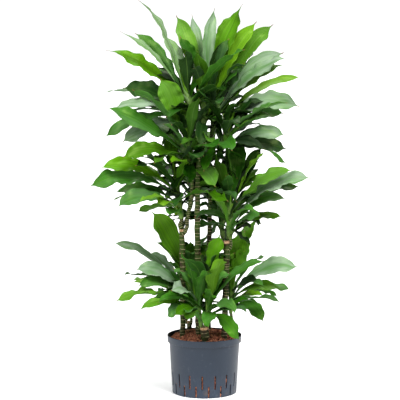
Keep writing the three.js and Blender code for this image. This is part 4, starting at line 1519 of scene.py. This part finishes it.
def lay_floor(colour):
    """A floor so wide that its edge is never seen."""
    add_circle = bpy.ops.mesh.primitive_circle_add
    floor = add(add_circle, "studio_floor", vertices=96, radius=FLOOR_RADIUS, fill_type="NGON")
    floor.data.materials.append(floor_material(colour))


def hang_lights():
    """Three soft lights, the brightest from the front at the right."""
    for name, bearing, height, strength, width in LIGHTS:
        turn = (math.radians(90 - height), 0, math.radians(bearing + 90))
        bpy.ops.object.light_add(type="SUN", location=(0, 0, 3), rotation=turn)
        light = bpy.context.object
        light.name = f"{name}_light"
        light.data.energy = strength
        light.data.angle = math.radians(width)


def studio_world():
    """A white world, seen much brighter than it lights the plant."""
    world = bpy.data.worlds.new("studio")
    world.use_nodes = True
    nodes, links = world.node_tree.nodes, world.node_tree.links
    seen = nodes.new("ShaderNodeLightPath")
    strength = nodes.new("ShaderNodeMapRange")
    strength.inputs["To Min"].default_value = WORLD_LIGHT
    strength.inputs["To Max"].default_value = WORLD_SEEN
    links.new(seen.outputs["Is Camera Ray"], strength.inputs["Value"])
    links.new(strength.outputs[0], nodes["Background"].inputs["Strength"])
    nodes["Background"].inputs["Color"].default_value = (1.0, 1.0, 1.0, 1.0)
    return world


def photo_camera(stage):
    """The camera where the photo was taken from."""
    place = (CAMERA_RIGHT, -stage.distance, stage.eye_height)
    bpy.ops.object.camera_add(location=place, rotation=(math.radians(90) - stage.tilt, 0, 0))
    camera = bpy.context.object
    camera.data.lens = stage.lens
    return camera


class DRACAENA_OT_stage(Operator):
    """Set the pale floor, the soft studio lights and the camera"""

    bl_idname = "dracaena.stage"
    bl_label = "Floor, lights and camera"

    def execute(self, context):
        stage = context.scene.dracaena_stage
        lay_floor(stage.floor)
        hang_lights()
        context.scene.world = studio_world()
        context.scene.camera = photo_camera(stage)
        context.scene.view_settings.view_transform = "Standard"
        return {"FINISHED"}


# ---------------------------------------------------------------- panel and registration


class DRACAENA_PT_panel(Panel):
    bl_label = "Potted dracaena"
    bl_space_type = "VIEW_3D"
    bl_region_type = "UI"
    bl_category = "Dracaena"

    def draw(self, context):
        for name, settings in SETTINGS.items():
            box = self.layout.box()
            group = getattr(context.scene, name)
            for key in settings.__annotations__:
                box.prop(group, key)
        for step in STEPS:
            self.layout.operator(step.bl_idname)


STEPS = [
    DRACAENA_OT_stage,
    DRACAENA_OT_pot,
    DRACAENA_OT_granules,
    DRACAENA_OT_canes,
    DRACAENA_OT_shoots,
    DRACAENA_OT_leaves,
]
CLASSES = [*SETTINGS.values(), *STEPS, DRACAENA_PT_panel]


def register():
    for cls in CLASSES:
        bpy.utils.register_class(cls)
    for name, settings in SETTINGS.items():
        setattr(bpy.types.Scene, name, PointerProperty(type=settings))


def unregister():
    for name in SETTINGS:
        delattr(bpy.types.Scene, name)
    for cls in reversed(CLASSES):
        bpy.utils.unregister_class(cls)


def main():
    register()
    bpy.ops.dracaena.stage()
    bpy.ops.dracaena.pot()
    bpy.ops.dracaena.granules()
    bpy.ops.dracaena.canes()
    bpy.ops.dracaena.shoots()
    bpy.ops.dracaena.leaves()


if __name__ == "__main__":
    main()
